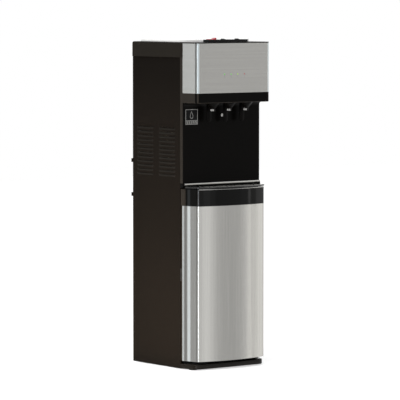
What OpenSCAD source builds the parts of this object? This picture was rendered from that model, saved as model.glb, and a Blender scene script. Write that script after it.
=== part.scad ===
// Bottleless water cooler: a free-standing cabinet with a filter bay behind a bowed door,
// a drip tray, three dispensing spouts in an open niche and a control head above it.
// The origin is on the floor, in the middle of the overall width and depth.
// X runs to the right as seen from the front, Y to the rear and Z up. All sizes are millimetres.

/* [Cabinet] */
// Width over the side panels
cab_w = 310; // [296:1:330]
// Height from the floor to the top of the head
cab_h = 1040; // [1036:1:1080]
// Depth of the side panels, front edge to rear edge
panel_depth = 256; // [250:1:280]
// Distance of the side panels' rear edge behind the origin
panel_rear = 170; // [164:1:176]
// Thickness of the painted sheet steel
sheet_t = 1; // [0.8:0.1:1.4]
// Width of the turned-in flanges of the side panels
flange_w = 11; // [8:0.5:13]
// Depth of the recess for the condenser at the rear
recess_d = 30; // [27:0.5:36]
// Wall of the black mouldings
wall = 3; // [2.4:0.1:3.4]
// Gap between the bay partition's face and the side panels' front edge
bay_d = 76; // [72:1:84]

/* [Base and feet] */
// Height of the feet below the base
foot_h = 4; // [3:0.5:8]
// Radius of a foot
foot_r = 14; // [10:0.5:18]
// Height of the base moulding
base_h = 16; // [14:0.5:20]
// How far the base reaches in front of the side panels
base_reach = 63; // [55:1:68]
// Half width of the base at its front corners, before rounding
base_front_half = 134; // [126:1:142]
// Radius of the base's front corners
base_corner_r = 24; // [16:1:30]

/* [Door] */
// Gap between the base and the door
door_gap_low = 9; // [7:0.5:12]
// Height of the door
door_h = 548; // [530:1:550]
// Height of the black band at the top of the door
band_h = 54; // [40:1:64]
// Gap between the side panels and the door
door_gap_rear = 2; // [2:0.1:3]
// How far the door's front corners reach in front of the side panels, before rounding
door_corner_reach = 66; // [62:0.5:70]
// Half width of the door at those corners
door_front_half = 133; // [128:0.5:138]
// Rise of the bowed front between its corners
door_bow = 20; // [14:0.5:22]
// Radius of the door's front corners
door_corner_r = 18; // [12:0.5:22]
// Thickness of the stainless door skin
skin_t = 0.8; // [0.5:0.1:1.2]
// Thickness of the door across its front
door_t = 14; // [11:0.5:15]
// Thickness of the door's side returns
return_t = 7; // [5:0.5:8]
// Distance of the hinge axis in from the side panels' outer face
hinge_in = 13; // [12:0.5:15]
// Distance of the hinge axis in front of the side panels
hinge_out = 16; // [15:0.5:18]
// Radius of the hinge pins
hinge_pin_r = 3; // [2.5:0.1:3.5]
// Radial play of the hinge pins in their bushes
hinge_play = 0.2; // [0.1:0.05:0.3]

/* [Tray] */
// Gap between the top of the door and the moulding above it
door_gap_top = 3; // [2.5:0.1:5]
// Height of the shelf moulding's front edge
shelf_h = 14; // [12:0.5:18]
// Depth of the drip tray's bowl
bowl_h = 20; // [14:0.5:24]
// Half width of the drip tray's bowl
bowl_half = 113.5; // [100:0.5:115]
// Running gap around the drip tray
tray_play = 0.6; // [0.4:0.1:1]
// How far the grille's edge reaches beyond the door
tray_over = 4; // [2:0.5:6]
// Width of a slot in the grille
slot_w = 3; // [2.4:0.1:3.4]
// Distance between the grille's slots
slot_pitch = 9; // [8:0.5:12]

/* [Niche] */
// Height of the dispensing niche
niche_h = 254.5; // [240:0.5:270]
// How far the niche's face lies in front of the side panels
niche_reach = 13; // [11:0.5:15]
// Radius of the niche's front edges
niche_edge_r = 3; // [2:0.5:3]
// Radius of the hollow between the niche's face and its ceiling
cove_r = 16; // [10:1:17]

/* [Head] */
// How far the head reaches in front of the niche's face
head_reach = 64; // [60:1:72]
// Width of the head's front before its corners are rounded
head_front_w = 291; // [280:1:300]
// Radius of the head's front corners
head_corner_r = 11.4; // [8:0.2:16]
// Height of the black band below the stainless skin
head_band_h = 31; // [26:0.5:36]
// Height of the black lip above the stainless skin
head_lip_h = 3; // [2.4:0.2:5]
// Height of the top cover's skirt
skirt_h = 48; // [40:0.5:60]
// How far the top cover stands proud of the side panels
skirt_proud = 0.6; // [0.4:0.1:1]
// Radius of the top cover's upper edges
cover_edge_r = 6; // [4:0.5:8]
// Height of the indicator lights in the stainless skin, as a share of its height
led_share = 0.378; // [0.3:0.01:0.5]
// Radius of an indicator light
led_r = 2; // [1.5:0.1:2.4]
// Distance between the indicator lights
led_pitch = 26.5; // [22:0.5:30]

/* [Spouts and levers] */
// Distance between the spouts
spout_pitch = 66; // [60:1:76]
// Distance of the spouts in front of the niche's face
spout_reach = 41; // [39:0.5:42]
// Radius of a spout's hood at the ceiling
hood_r = 22; // [20:0.5:24]
// Height of a spout's hood
hood_h = 17; // [14:0.5:20]
// Radius of a spout's bore
spout_bore_r = 4; // [3:0.5:5]
// Width of a lever's blade
lever_w = 18; // [14:1:22]
// Length of a lever below its axis
lever_l = 72; // [60:1:84]
// Thickness of a lever
lever_t = 3; // [2.4:0.1:3.4]
// Radius of the levers' pins
lever_pin_r = 2; // [1.5:0.1:2.2]
// How far a lever swings, degrees
lever_swing = 8; // [5:1:10]
// Travel of the child lock
lock_travel = 6; // [4:0.5:8]

/* [Top] */
// Gap between the lid's sides and the cabinet's
lid_side = 12; // [11:0.5:16]
// Gap between the lid and the cabinet's rear edge
lid_rear = 10; // [9:0.5:14]
// Height of the lid
lid_h = 8; // [6:0.5:10]
// Radius of the lid's corners
lid_r = 30; // [20:1:34]
// Length of the switch bezel
bezel_l = 162; // [160:1:176]
// Depth of the switch bezel, front to rear
bezel_d = 26; // [25:0.5:28]
// Height of the switch bezel
bezel_h = 8; // [7:0.5:10]
// Distance between the rocker switches
rocker_pitch = 56; // [50:0.5:57]
// Length of a rocker
rocker_l = 28; // [26:0.5:30]
// Width of a rocker
rocker_w = 17; // [15:0.5:18]
// Tilt of a rocker to each side, degrees
rocker_tilt = 8; // [5:0.5:9]

/* [Louvres] */
// Number of louvres in a column
louvre_n = 12; // [6:1:14]
// Distance between louvres
louvre_pitch = 13.5; // [12:0.5:15]
// Height of a louvre
louvre_h = 8; // [6:0.5:10]
// Width of a louvre
louvre_w = 90; // [80:1:94]
// How far a louvre is pressed in
louvre_in = 3.5; // [2.5:0.5:5]

/* [Inside] */
// Radius of a filter cartridge
filter_r = 27; // [24:0.5:28]
// Length of a filter cartridge
filter_l = 240; // [200:5:260]
// Distance between the filter cartridges
filter_pitch = 110; // [80:1:130]
// Radius of a filter cartridge's neck
neck_r = 16; // [12:0.5:18]
// Radial play of a cartridge's neck in its head
neck_play = 0.3; // [0.2:0.05:0.4]
// Radius of the cold tank
cold_r = 55; // [48:0.5:58]
// Radius of the hot tank
hot_r = 40; // [36:0.5:44]
// Height of the cold tank
cold_h = 190; // [160:1:200]
// Height of the hot tank
hot_h = 150; // [120:1:170]
// Thickness of the foam around the tanks
foam_t = 20; // [16:0.5:22]
// Radius of the compressor
comp_r = 60; // [54:0.5:64]
// Height of the compressor
comp_h = 150; // [130:1:170]
// Radius of the condenser tube
cond_r = 2.5; // [2:0.1:3]
// Number of condenser passes
cond_n = 14; // [8:2:16]
// Distance between condenser passes
cond_pitch = 27.5; // [24:0.5:29]

/* [Connections] */
// Radius of the water inlet's tube
inlet_tube_r = 3.175; // [3:0.025:3.5]
// Clearance of the tube in the inlet
inlet_play = 0.1; // [0.05:0.01:0.2]
// Depth of the inlet's bore
inlet_l = 16; // [12:0.5:18]
// Radius of the cord gland's bore
gland_r = 4; // [3.5:0.1:4.5]
// Radius of a drain outlet
drain_r = 7; // [6:0.5:8]
// Distance between the drain outlets
drain_pitch = 60; // [44:1:80]

/* [Hidden] */
// Fineness of round surfaces
$fn = 64;
// Overshoot of a cut through a face
cut = 1;
// Gap between pieces that move past each other
run_gap = 0.3;
// Radius of a small edge
small_r = 1.5;
// Least radius left on an inset corner
least_r = 1;
// Steps of a rounded corner and of half of a bowed front
corner_steps = 6;
bow_steps = 8;
// Rise that makes a front flat
flat_rise = 0.02;

half_w = cab_w / 2;
inner_half = half_w - sheet_t;
front_y = panel_rear - panel_depth;
niche_y = front_y - niche_reach;
head_y = niche_y - head_reach;
back_y = panel_rear - recess_d;
partition_y = front_y + bay_d;

base_z = foot_h;
base_top = foot_h + base_h;
door_z = base_top + door_gap_low;
door_top = door_z + door_h;
skin_top = door_top - band_h;
shelf_z = door_top + door_gap_top;
niche_z = shelf_z + shelf_h;
head_z = niche_z + niche_h;
head_skin_z = head_z + head_band_h;
head_skin_top = cab_h - head_lip_h;
skirt_z = cab_h - skirt_h;

// Half outline of a front in plan, right side, from its rear point to the middle of its front.
// The side runs from (w0, y0) to the unrounded corner (w1, y1), the bowed front has its apex
// at fy, r rounds the corner, t insets the side and tf the front.
function plan_half(w0, y0, w1, y1, fy, r, t, tf) =
  let (
    big = (w1 * w1 + (y1 - fy) * (y1 - fy)) / (2 * (y1 - fy)),
    len = norm([w1 - w0, y1 - y0]),
    dx = (w1 - w0) / len,
    dy = (y1 - y0) / len,
    px = w0 + t / dy,
    rr = max(r - max(t, tf), least_r),
    qx = px + dy * rr,
    qy = y0 - dx * rr - (fy + big),
    qd = qx * dx + qy * dy,
    s = -qd + sqrt(qd * qd - qx * qx - qy * qy + pow(big - tf - rr, 2)),
    cx = qx + s * dx,
    cy = y0 - dx * rr + s * dy,
    a1 = atan2(dx, -dy),
    a2 = atan2(cy - (fy + big), cx)
  )
  concat(
    [[px, y0]],
    [for (i = [0:corner_steps])
      let (a = a1 + (a2 - a1) * i / corner_steps) [cx + rr * cos(a), cy + rr * sin(a)]],
    [for (i = [1:bow_steps])
      let (a = a2 + (-90 - a2) * i / bow_steps)
        [(big - tf) * cos(a), fy + big + (big - tf) * sin(a)]]
  );

// Whole outline: the right half and its mirror image.
function plan_all(half) =
  concat(half, [for (i = [len(half) - 2:-1:0]) [-half[i][0], half[i][1]]]);

module plan_2d(w0, y0, w1, y1, fy, r, t, tf) {
  polygon(plan_all(plan_half(w0, y0, w1, y1, fy, r, t, tf)));
}

// Outline of the base's front, the door, the tray and the head.
module base_plan(t) {
  plan_2d(half_w, front_y, base_front_half, front_y - base_reach + wall, front_y - base_reach,
    base_corner_r, t, t);
}

door_rear = front_y - door_gap_rear;
door_corner_y = front_y - door_corner_reach;
door_front = door_corner_y - door_bow;
hinge_x = half_w - hinge_in;
hinge_y = front_y - hinge_out;
hinge_reach = hinge_out - door_gap_rear;

// The door's outline, inset by t. The corner behind the hinge axis is struck about that axis.
module door_plan(t) {
  difference() {
    plan_2d(half_w, door_rear, door_front_half, door_corner_y, door_front, door_corner_r, t, t);
    difference() {
      translate([hinge_x, hinge_y])
        square([half_w, half_w]);
      translate([hinge_x, hinge_y])
        circle(hinge_reach);
    }
  }
}

// The hollow behind the door, open to the rear.
module door_hollow(front_t, side_t) {
  plan_2d(half_w, door_rear + cut, door_front_half, door_corner_y, door_front, door_corner_r,
    side_t, front_t);
}

collar_w = 1.2;
collar_r = hinge_pin_r + collar_w;
shelf_lip = hinge_out - niche_reach + collar_r;
tray_rear = niche_y - shelf_lip - tray_play;

// The tray's outline, which follows the door and reaches over it.
module tray_plan(t) {
  plan_2d(half_w - tray_over, tray_rear, door_front_half + tray_over - 2, door_corner_y,
    door_front - tray_over, door_corner_r, t, t);
}

// The head's outline. Behind the niche's face its sides run straight back.
module head_plan(t) {
  plan_2d(half_w, niche_y, head_front_w / 2, head_y + flat_rise, head_y, head_corner_r, t, t);
}

module rounded_rect(w, d, r) {
  union() {
    square([w - 2 * r, d], center = true);
    square([w, d - 2 * r], center = true);
    for (sx = [-1, 1], sy = [-1, 1])
      translate([sx * (w / 2 - r), sy * (d / 2 - r)])
        circle(r);
  }
}

// A box between two corners.
module block(a, b) {
  translate(a)
    cube(b - a);
}

// A cylinder along Y from y0 to y1.
module rod_y(x, z, r, y0, y1) {
  translate([x, y1, z])
    rotate([90, 0, 0])
      cylinder(r = r, h = y1 - y0);
}

// A cylinder along X from x0 to x1.
module rod_x(y, z, r, x0, x1) {
  translate([x0, y, z])
    rotate([0, 90, 0])
      cylinder(r = r, h = x1 - x0);
}

// A cylinder along Z from z0 to z1.
module rod_z(x, y, r, z0, z1) {
  translate([x, y, z0])
    cylinder(r = r, h = z1 - z0);
}

// Rocker switches, lid and control head.
head_skin_h = head_skin_top - head_skin_z;
led_z = head_skin_z + led_share * head_skin_h;
led_mid = 2.5;
led_flange = 1.2;
lens_out = 0.4;
board_gap = 2.4;
board_w = 120;
board_h = 0.216 * head_skin_h;
board_t = 1.6;
bezel_in = 21;
bezel_y = niche_y - bezel_in;
bezel_wall = 3;
rocker_play = 0.7;
rocker_end = 9;
rocker_mid = 6;
rocker_low = 4;
key_end = 6;
key_mid = 4;
rocker_up = 3;
rocker_z = cab_h + rocker_up;
lid_in = 8;
lid_w = cab_w - 2 * lid_side;
lid_d = panel_depth - lid_in - lid_rear;
lid_y = front_y + lid_d / 2 + lid_in;

black = [0.13, 0.12, 0.11];
dark = [0.2, 0.19, 0.17];
steel = [0.72, 0.72, 0.7];

module base_outline(t) {
  union() {
    base_plan(t);
    translate([-inner_half + t, front_y - t - cut])
      square([2 * (inner_half - t), panel_depth + cut - 2 * wall]);
  }
}

foot_peg_r = 4;
foot_boss_r = 9;
foot_in = 30;
foot_front_in = 36;
foot_front_y = front_y - base_reach + foot_front_in;
foot_rear_y = panel_rear - foot_in;
rib_t = 2.4;
pin_boss_r = 7;

module foot_places() {
  for (sx = [-1, 1], y = [foot_front_y, foot_rear_y])
    translate([sx * (inner_half - foot_in), y, 0])
      children();
}

module base_plinth() {
  color(black)
    difference() {
      union() {
        difference() {
          translate([0, 0, base_z])
            linear_extrude(base_h)
              base_outline(0);
          translate([0, 0, base_z - cut])
            linear_extrude(base_h - wall + cut)
              base_outline(wall);
        }
        foot_places()
          rod_z(0, 0, foot_boss_r, base_z, base_top - cut);
        rod_z(hinge_x, hinge_y, pin_boss_r, base_z, base_top - cut);
        for (x = [-half_w / 2, 0, half_w / 2])
          block([x - rib_t / 2, front_y - base_reach + 2 * wall, base_z],
            [x + rib_t / 2, panel_rear - 2 * wall, base_top - cut]);
      }
      foot_places()
        rod_z(0, 0, foot_peg_r, base_z - cut, base_top - wall);
      rod_z(hinge_x, hinge_y, hinge_pin_r, base_z + wall, base_top + cut);
    }
}

module feet() {
  color(black)
    foot_places()
      union() {
        rod_z(0, 0, foot_r, 0, base_z);
        rod_z(0, 0, foot_peg_r, 0, base_top - wall);
      }
}

// Louvres: windows with a blade pressed in at its upper edge and closed at both ends.
louvre_top = 768;
louvre_end = 1;
louvre_front_in = 25;
louvre_rear_in = 142;
louvre_front_x = front_y + louvre_front_in;
louvre_rear_x = front_y + louvre_rear_in;
louvre_low = louvre_top - louvre_h - (louvre_n - 1) * louvre_pitch;

module louvre_windows() {
  for (y = [louvre_front_x, louvre_rear_x], i = [0:louvre_n - 1])
    block([inner_half - cut, y, louvre_top - louvre_h - i * louvre_pitch],
      [half_w + cut, y + louvre_w, louvre_top - i * louvre_pitch]);
}

module louvre_blades() {
  for (y = [louvre_front_x, louvre_rear_x], i = [0:louvre_n - 1])
    translate([inner_half, y + louvre_w, louvre_top - louvre_h - i * louvre_pitch])
      rotate([90, 0, 0])
        union() {
          linear_extrude(louvre_w)
            polygon([[0, 0], [sheet_t, 0], [sheet_t - louvre_in, louvre_h], [-louvre_in, louvre_h]]);
          for (z = [0, louvre_w - louvre_end])
            translate([0, 0, z])
              linear_extrude(louvre_end)
                polygon([[0, 0], [sheet_t, 0], [sheet_t, louvre_h], [-louvre_in, louvre_h]]);
        }
}

module side_panel() {
  color(dark)
    union() {
      difference() {
        block([inner_half, front_y, base_z], [half_w, panel_rear, skirt_z]);
        louvre_windows();
      }
      louvre_blades();
      block([inner_half - flange_w, front_y, base_top], [inner_half, front_y + sheet_t, skirt_z]);
      block([inner_half - flange_w, panel_rear - sheet_t, base_top], [inner_half, panel_rear, skirt_z]);
      block([inner_half - flange_w, front_y, base_top],
        [inner_half, panel_rear, base_top + sheet_t]);
      block([inner_half - flange_w, front_y, skirt_z - sheet_t], [inner_half, panel_rear, skirt_z]);
    }
}

module side_panel_left() {
  mirror([1, 0, 0])
    side_panel();
}

module side_panel_right() {
  side_panel();
}

// Places of the connections on the rear panel.
inlet_x = -110;
inlet_z = 230;
gland_x = 110;
gland_z = 230;
drain_z = 120;
fitting_r = 9;
gland_body_r = 8;
vent_w = 60;
vent_x = [-110, 50];
vent_z = 50;
vent_h = 4;

// Room in the rear panel's sides for the louvres that are pressed in beside it.
module louvre_notches() {
  for (s = [-1, 1])
    translate([s * inner_half - louvre_in - run_gap, 0, louvre_low - run_gap])
      cube([2 * (louvre_in + run_gap), louvre_rear_x + louvre_w + run_gap,
        louvre_top - louvre_low + 2 * run_gap]);
}

module rear_panel() {
  color(dark)
    union() {
      difference() {
        block([-inner_half, back_y - sheet_t, base_top + sheet_t],
          [inner_half, back_y, skirt_z - sheet_t]);
        rod_y(inlet_x, inlet_z, fitting_r, back_y - 2 * sheet_t, back_y + cut);
        rod_y(gland_x, gland_z, gland_body_r, back_y - 2 * sheet_t, back_y + cut);
        for (s = [-1, 1])
          rod_y(s * drain_pitch / 2, drain_z, drain_r, back_y - 2 * sheet_t, back_y + cut);
        for (x = vent_x, i = [0:5])
          block([x, back_y - 2 * sheet_t, vent_z + i * 2 * vent_h],
            [x + vent_w, back_y + cut, vent_z + (2 * i + 1) * vent_h - sheet_t]);
        rod_y(line_x, discharge_z, cond_r + 1, back_y - 2 * sheet_t, back_y + cut);
        louvre_notches();
      }
      difference() {
        for (s = [-1, 1])
          block([s > 0 ? inner_half - sheet_t : -inner_half, back_y - sheet_t, base_top + sheet_t],
            [s > 0 ? inner_half : sheet_t - inner_half, back_y + flange_w, skirt_z - sheet_t]);
        louvre_notches();
      }
    }
}

deck_up = 6;
deck_z = niche_z + deck_up;
tube_r = 3.2;
tube_hole_r = 4.5;
filter_in = 34;
filter_y = partition_y - filter_in;
tube_front_y = filter_y;
tube_side_x = 110;

module bay_partition() {
  color(steel)
    difference() {
      union() {
        block([-inner_half, partition_y, base_top + sheet_t],
          [inner_half, partition_y + sheet_t, deck_z + sheet_t]);
        block([-inner_half, front_y + sheet_t, deck_z], [inner_half, back_y - sheet_t, deck_z + sheet_t]);
      }
      rod_y(-tube_side_x, inlet_z, tube_hole_r, partition_y - cut, partition_y + sheet_t + cut);
      rod_z(tube_side_x, tube_front_y, tube_hole_r, deck_z - cut, deck_z + sheet_t + cut);
      rod_z(suction_x, tank_y, tube_hole_r, deck_z - cut, deck_z + sheet_t + cut);
    }
}

cover_half = half_w + skirt_proud;
cover_rear = panel_rear + skirt_proud;
well_in = 16;
lid_plug = 5;
lid_play = 0.6;

// Section of the top cover across X, with its upper edges rounded.
module cover_section(half, r, top) {
  union() {
    translate([-half, skirt_z - cut])
      square([2 * half, top - skirt_z + cut - r]);
    translate([-half + r, skirt_z - cut])
      square([2 * (half - r), top - skirt_z + cut]);
    for (s = [-1, 1])
      translate([s * (half - r), top - r])
        circle(r);
  }
}

// Solid of the top cover's outer shape, inset by t.
module cover_solid(t) {
  intersection() {
    translate([0, cover_rear - t, 0])
      rotate([90, 0, 0])
        linear_extrude(cover_rear - niche_y - t)
          cover_section(cover_half - t, cover_edge_r - t, cab_h - t);
    translate([-cab_w, 0, 0])
      rotate([90, 0, 90])
        linear_extrude(2 * cab_w)
          union() {
            translate([niche_y - cut, skirt_z])
              square([cover_rear - niche_y - cover_edge_r + cut, cab_h - t - skirt_z]);
            translate([niche_y - cut, skirt_z])
              square([cover_rear - niche_y - t + cut, cab_h - cover_edge_r - skirt_z]);
            translate([cover_rear - cover_edge_r, cab_h - cover_edge_r])
              circle(cover_edge_r - t);
          }
  }
}

module top_cover() {
  color(black)
    difference() {
      union() {
        difference() {
          cover_solid(0);
          difference() {
            cover_solid(wall - 0.4);
            block([-cab_w, niche_y - 2 * cut, skirt_z], [cab_w, niche_y + 2 * cut, cab_h]);
          }
          block([-inner_half + wall, niche_y - cut, skirt_z - cut],
            [inner_half - wall, panel_rear - wall, cab_h - wall]);
        }
      }
      translate([0, lid_y, cab_h - 2 * wall])
        linear_extrude(3 * wall)
          rounded_rect(lid_w - 2 * well_in, lid_d - 2 * well_in, lid_r - well_in / 2);
    }
}

module top_lid() {
  color(dark)
    difference() {
      union() {
        translate([0, lid_y, cab_h + run_gap])
          linear_extrude(lid_h - small_r - run_gap)
            rounded_rect(lid_w, lid_d, lid_r);
        translate([0, lid_y, cab_h + run_gap])
          linear_extrude(lid_h - run_gap)
            rounded_rect(lid_w - 2 * small_r, lid_d - 2 * small_r, lid_r - small_r);
        translate([0, lid_y, cab_h - lid_plug])
          linear_extrude(lid_plug + wall)
            rounded_rect(lid_w - 2 * well_in - 2 * lid_play, lid_d - 2 * well_in - 2 * lid_play,
              lid_r - well_in / 2 - lid_play);
      }
      translate([0, lid_y, cab_h - lid_plug - cut])
        linear_extrude(lid_plug + lid_h - wall + cut)
          rounded_rect(lid_w - 2 * well_in - 2 * lid_play - 2 * wall,
            lid_d - 2 * well_in - 2 * lid_play - 2 * wall, lid_r - well_in / 2 - lid_play - wall);
    }
}

spout_y = niche_y - spout_reach;
lever_y = niche_y - spout_reach / 2;
lever_up = 7;
lever_z = head_z + wall + lever_up;
lever_hub_r = 4.5;
lever_tail = 14;
lever_side = 1;
ear_t = 3;
ear_r = 5;
hood_back = lever_y - lever_t / 2 - wall;
hood_low_r = 9;
nozzle_r = 8;
nozzle_h = 10;
shank_r = 10;
shank_h = 10;
barb_r = 5.5;
barb_h = 10;
switch_gap = 2.6;
switch_w = 14;
switch_d = 8;
switch_h = 12;

function spout_x(i) = i * spout_pitch;

module lever_slot(x) {
  block([x - lever_w / 2 - lever_side, lever_y - lever_t / 2 - lever_side, head_z - cut],
    [x + lever_w / 2 + lever_side,
      lever_y + lever_t / 2 + lever_side + (lever_z - head_z) * sin(lever_swing),
      head_z + wall + cut]);
}

module lever_ears(x) {
  for (s = [-1, 1])
    difference() {
      union() {
        block([x + s * (lever_w / 2 + lever_side + ear_t / 2) - ear_t / 2, lever_y - ear_r,
          head_z + small_r],
          [x + s * (lever_w / 2 + lever_side + ear_t / 2) + ear_t / 2, lever_y + ear_r, lever_z]);
        rod_x(lever_y, lever_z, ear_r, x + s * (lever_w / 2 + lever_side + ear_t / 2) - ear_t / 2,
          x + s * (lever_w / 2 + lever_side + ear_t / 2) + ear_t / 2);
      }
      rod_x(lever_y, lever_z, lever_pin_r, x - lever_w, x + lever_w);
    }
}

module fascia_housing() {
  color(black)
    union() {
      difference() {
        union() {
          translate([0, 0, head_z])
            linear_extrude(cab_h - head_z)
              head_plan(0);
          block([-half_w, niche_y, head_z], [half_w, front_y, skirt_z]);
        }
        translate([0, 0, head_z + wall])
          linear_extrude(cab_h - head_z - 2 * wall)
            union() {
              head_plan(wall);
              translate([-half_w + wall, niche_y - 2 * cut])
                square([cab_w - 2 * wall, niche_reach + 4 * cut]);
            }
        translate([0, 0, head_skin_z])
          linear_extrude(head_skin_top - head_skin_z)
            difference() {
              translate([-cab_w, head_y - cut])
                square([2 * cab_w, head_reach + cut]);
              head_plan(skin_t);
            }
        led_holes();
        for (i = [-1:1])
          rod_z(spout_x(i), spout_y, shank_r, head_z - cut, head_z + wall + cut);
        for (i = [-1:1])
          lever_slot(spout_x(i));
        block([-bezel_l / 2 + 2 * bezel_wall, bezel_y - bezel_d / 2 + bezel_wall, cab_h - 2 * wall],
          [bezel_l / 2 - 2 * bezel_wall, bezel_y + bezel_d / 2 - bezel_wall, cab_h + cut]);
      }
      for (i = [-1:1])
        lever_ears(spout_x(i));
      for (sx = [-1, 1], sz = [-1, 1])
        rod_y(sx * (board_w / 2 - 6), led_z + sz * (board_h / 2 - 5), wall, head_y + wall - small_r,
          head_y + wall + board_gap);
    }
}

module led_holes() {
  for (i = [0:3])
    rod_y(led_mid + (i - 1.5) * led_pitch, led_z, led_r, head_y - cut, head_y + wall + cut);
}

module fascia_skin() {
  color(steel)
    difference() {
      translate([0, 0, head_skin_z])
        linear_extrude(head_skin_top - head_skin_z)
          difference() {
            head_plan(0);
            head_plan(skin_t);
          }
      led_holes();
    }
}

module lens(i) {
  union() {
    rod_y(led_mid + (i - 1.5) * led_pitch, led_z, led_r, head_y - lens_out, head_y + wall + led_flange);
    rod_y(led_mid + (i - 1.5) * led_pitch, led_z, led_r + 1, head_y + wall,
      head_y + wall + led_flange);
  }
}

module status_lenses() {
  color("green")
    for (i = [0:2])
      lens(i);
}

module heat_lens() {
  color("red")
    lens(3);
}

module indicator_board() {
  color("darkgreen")
    union() {
      block([led_mid - board_w / 2 - led_mid, head_y + wall + board_gap, led_z - board_h / 2],
        [board_w / 2, head_y + wall + board_gap + board_t, led_z + board_h / 2]);
      for (i = [0:3])
        rod_y(led_mid + (i - 1.5) * led_pitch, led_z, led_r, head_y + wall + led_flange,
          head_y + wall + board_gap + small_r);
      block([-board_w / 4, head_y + wall + board_gap, led_z - board_h / 3],
        [board_w / 4, head_y + wall + board_gap + 4 * board_t, led_z - board_h / 4]);
    }
}

lock_x = 1;
lock_drop = 41;
lock_z = head_z - lock_drop;
lock_stem = 2;
lock_w = 8;
lock_h = 12;
lock_t = 3;

module niche_panel() {
  color(black)
    difference() {
      union() {
        difference() {
          translate([0, 0, niche_z])
            linear_extrude(niche_h)
              union() {
                translate([-half_w + niche_edge_r, niche_y])
                  square([cab_w - 2 * niche_edge_r, wall]);
                for (s = [-1, 1])
                  translate([s * (half_w - wall / 2) - wall / 2, niche_y + niche_edge_r])
                    square([wall, niche_reach - niche_edge_r]);
                for (s = [-1, 1])
                  intersection() {
                    translate([s * (half_w - niche_edge_r), niche_y + niche_edge_r])
                      circle(niche_edge_r);
                    translate([s * half_w - half_w / 2, niche_y])
                      square([half_w, niche_edge_r]);
                  }
              }
        }
        translate([-half_w + niche_edge_r, niche_y, head_z])
          rotate([90, 0, 90])
            linear_extrude(cab_w - 2 * niche_edge_r)
              difference() {
                translate([-cove_r, -cove_r])
                  square([cove_r, cove_r]);
                translate([-cove_r, -cove_r])
                  circle(cove_r);
              }
      }
      block([lock_x - lock_stem - run_gap, niche_y - cut, lock_z - lock_stem - run_gap],
        [lock_x + lock_stem + lock_travel + run_gap, niche_y + wall + cut,
          lock_z + lock_stem + run_gap]);
    }
}

sticker_x = -145;
sticker_w = 51;
sticker_t = 0.4;
sticker_drop = 70;
sticker_z = head_z - sticker_drop;

module niche_sticker() {
  color("silver")
    block([sticker_x, niche_y - sticker_t, sticker_z],
      [sticker_x + sticker_w, niche_y, sticker_z + sticker_w]);
}

module child_lock() {
  color("white")
    union() {
      block([lock_x - lock_w / 2, niche_y - lock_t, lock_z - lock_h / 2],
        [lock_x + lock_w / 2, niche_y - run_gap, lock_z + lock_h / 2]);
      block([lock_x - lock_stem, niche_y - lock_t, lock_z - lock_stem],
        [lock_x + lock_stem, niche_y + wall + lock_t, lock_z + lock_stem]);
      block([lock_x - lock_w / 2, niche_y + wall + run_gap, lock_z - lock_h / 2],
        [lock_x + lock_w / 2, niche_y + wall + lock_t, lock_z + lock_h / 2]);
    }
}

module spout(x) {
  color(black)
    difference() {
      union() {
        intersection() {
          translate([x, spout_y, head_z - hood_h])
            cylinder(r1 = hood_low_r, r2 = hood_r, h = hood_h);
          block([x - 2 * hood_r, spout_y - 2 * hood_r, head_z - hood_h],
            [x + 2 * hood_r, hood_back, head_z]);
        }
        rod_z(x, spout_y, nozzle_r, head_z - hood_h - nozzle_h, head_z - hood_h + cut);
        rod_z(x, spout_y, shank_r, head_z - cut, head_z + wall + cut);
        rod_z(x, spout_y, barb_r, head_z, head_z + wall + shank_h + barb_h);
      }
      rod_z(x, spout_y, spout_bore_r, head_z - hood_h - nozzle_h - cut,
        head_z + wall + shank_h + barb_h + cut);
    }
}

module spout_left() {
  spout(spout_x(-1));
}

module spout_middle() {
  spout(spout_x(0));
}

module spout_right() {
  spout(spout_x(1));
}

module lever(x) {
  color(dark)
    difference() {
      union() {
        translate([x, lever_y + lever_t / 2, lever_z])
          rotate([90, 0, 0])
            linear_extrude(lever_t)
              union() {
                translate([-lever_w / 2, -lever_l + lever_w / 2])
                  square([lever_w, lever_l - lever_w / 2]);
                translate([0, -lever_l + lever_w / 2])
                  circle(lever_w / 2);
                translate([-lever_w / 4, 0])
                  square([lever_w / 2, lever_tail]);
              }
        rod_x(lever_y, lever_z, lever_hub_r, x - lever_w / 2, x + lever_w / 2);
      }
      rod_x(lever_y, lever_z, lever_pin_r + hinge_play, x - lever_w, x + lever_w);
    }
}

module lever_left() {
  lever(spout_x(-1));
}

module lever_middle() {
  lever(spout_x(0));
}

module lever_right() {
  lever(spout_x(1));
}

module lever_pins() {
  color(steel)
    for (i = [-1:1])
      rod_x(lever_y, lever_z, lever_pin_r, spout_x(i) - lever_w / 2 - lever_side - ear_t,
        spout_x(i) + lever_w / 2 + lever_side + ear_t);
}

module lever_switches() {
  color(black)
    for (i = [-1:1])
      union() {
        block([spout_x(i) - switch_w / 2, lever_y - lever_t / 2 - switch_gap - switch_d,
          lever_z + lever_hub_r + run_gap],
          [spout_x(i) + switch_w / 2, lever_y - lever_t / 2 - switch_gap,
            lever_z + lever_hub_r + switch_h]);
        for (s = [-1, 1])
          block([spout_x(i) + s * (lever_w / 2 + lever_side + ear_t / 2) - ear_t / 2,
            lever_y - lever_t / 2 - switch_gap - switch_d, head_z + wall],
            [spout_x(i) + s * (lever_w / 2 + lever_side + ear_t / 2) + ear_t / 2,
              lever_y - ear_r, lever_z + lever_hub_r + switch_h]);
        block([spout_x(i) - lever_w / 2 - lever_side - ear_t,
          lever_y - lever_t / 2 - switch_gap - switch_d, lever_z + lever_hub_r + switch_h - ear_t],
          [spout_x(i) + lever_w / 2 + lever_side + ear_t,
            lever_y - ear_r, lever_z + lever_hub_r + switch_h]);
      }
}

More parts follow.
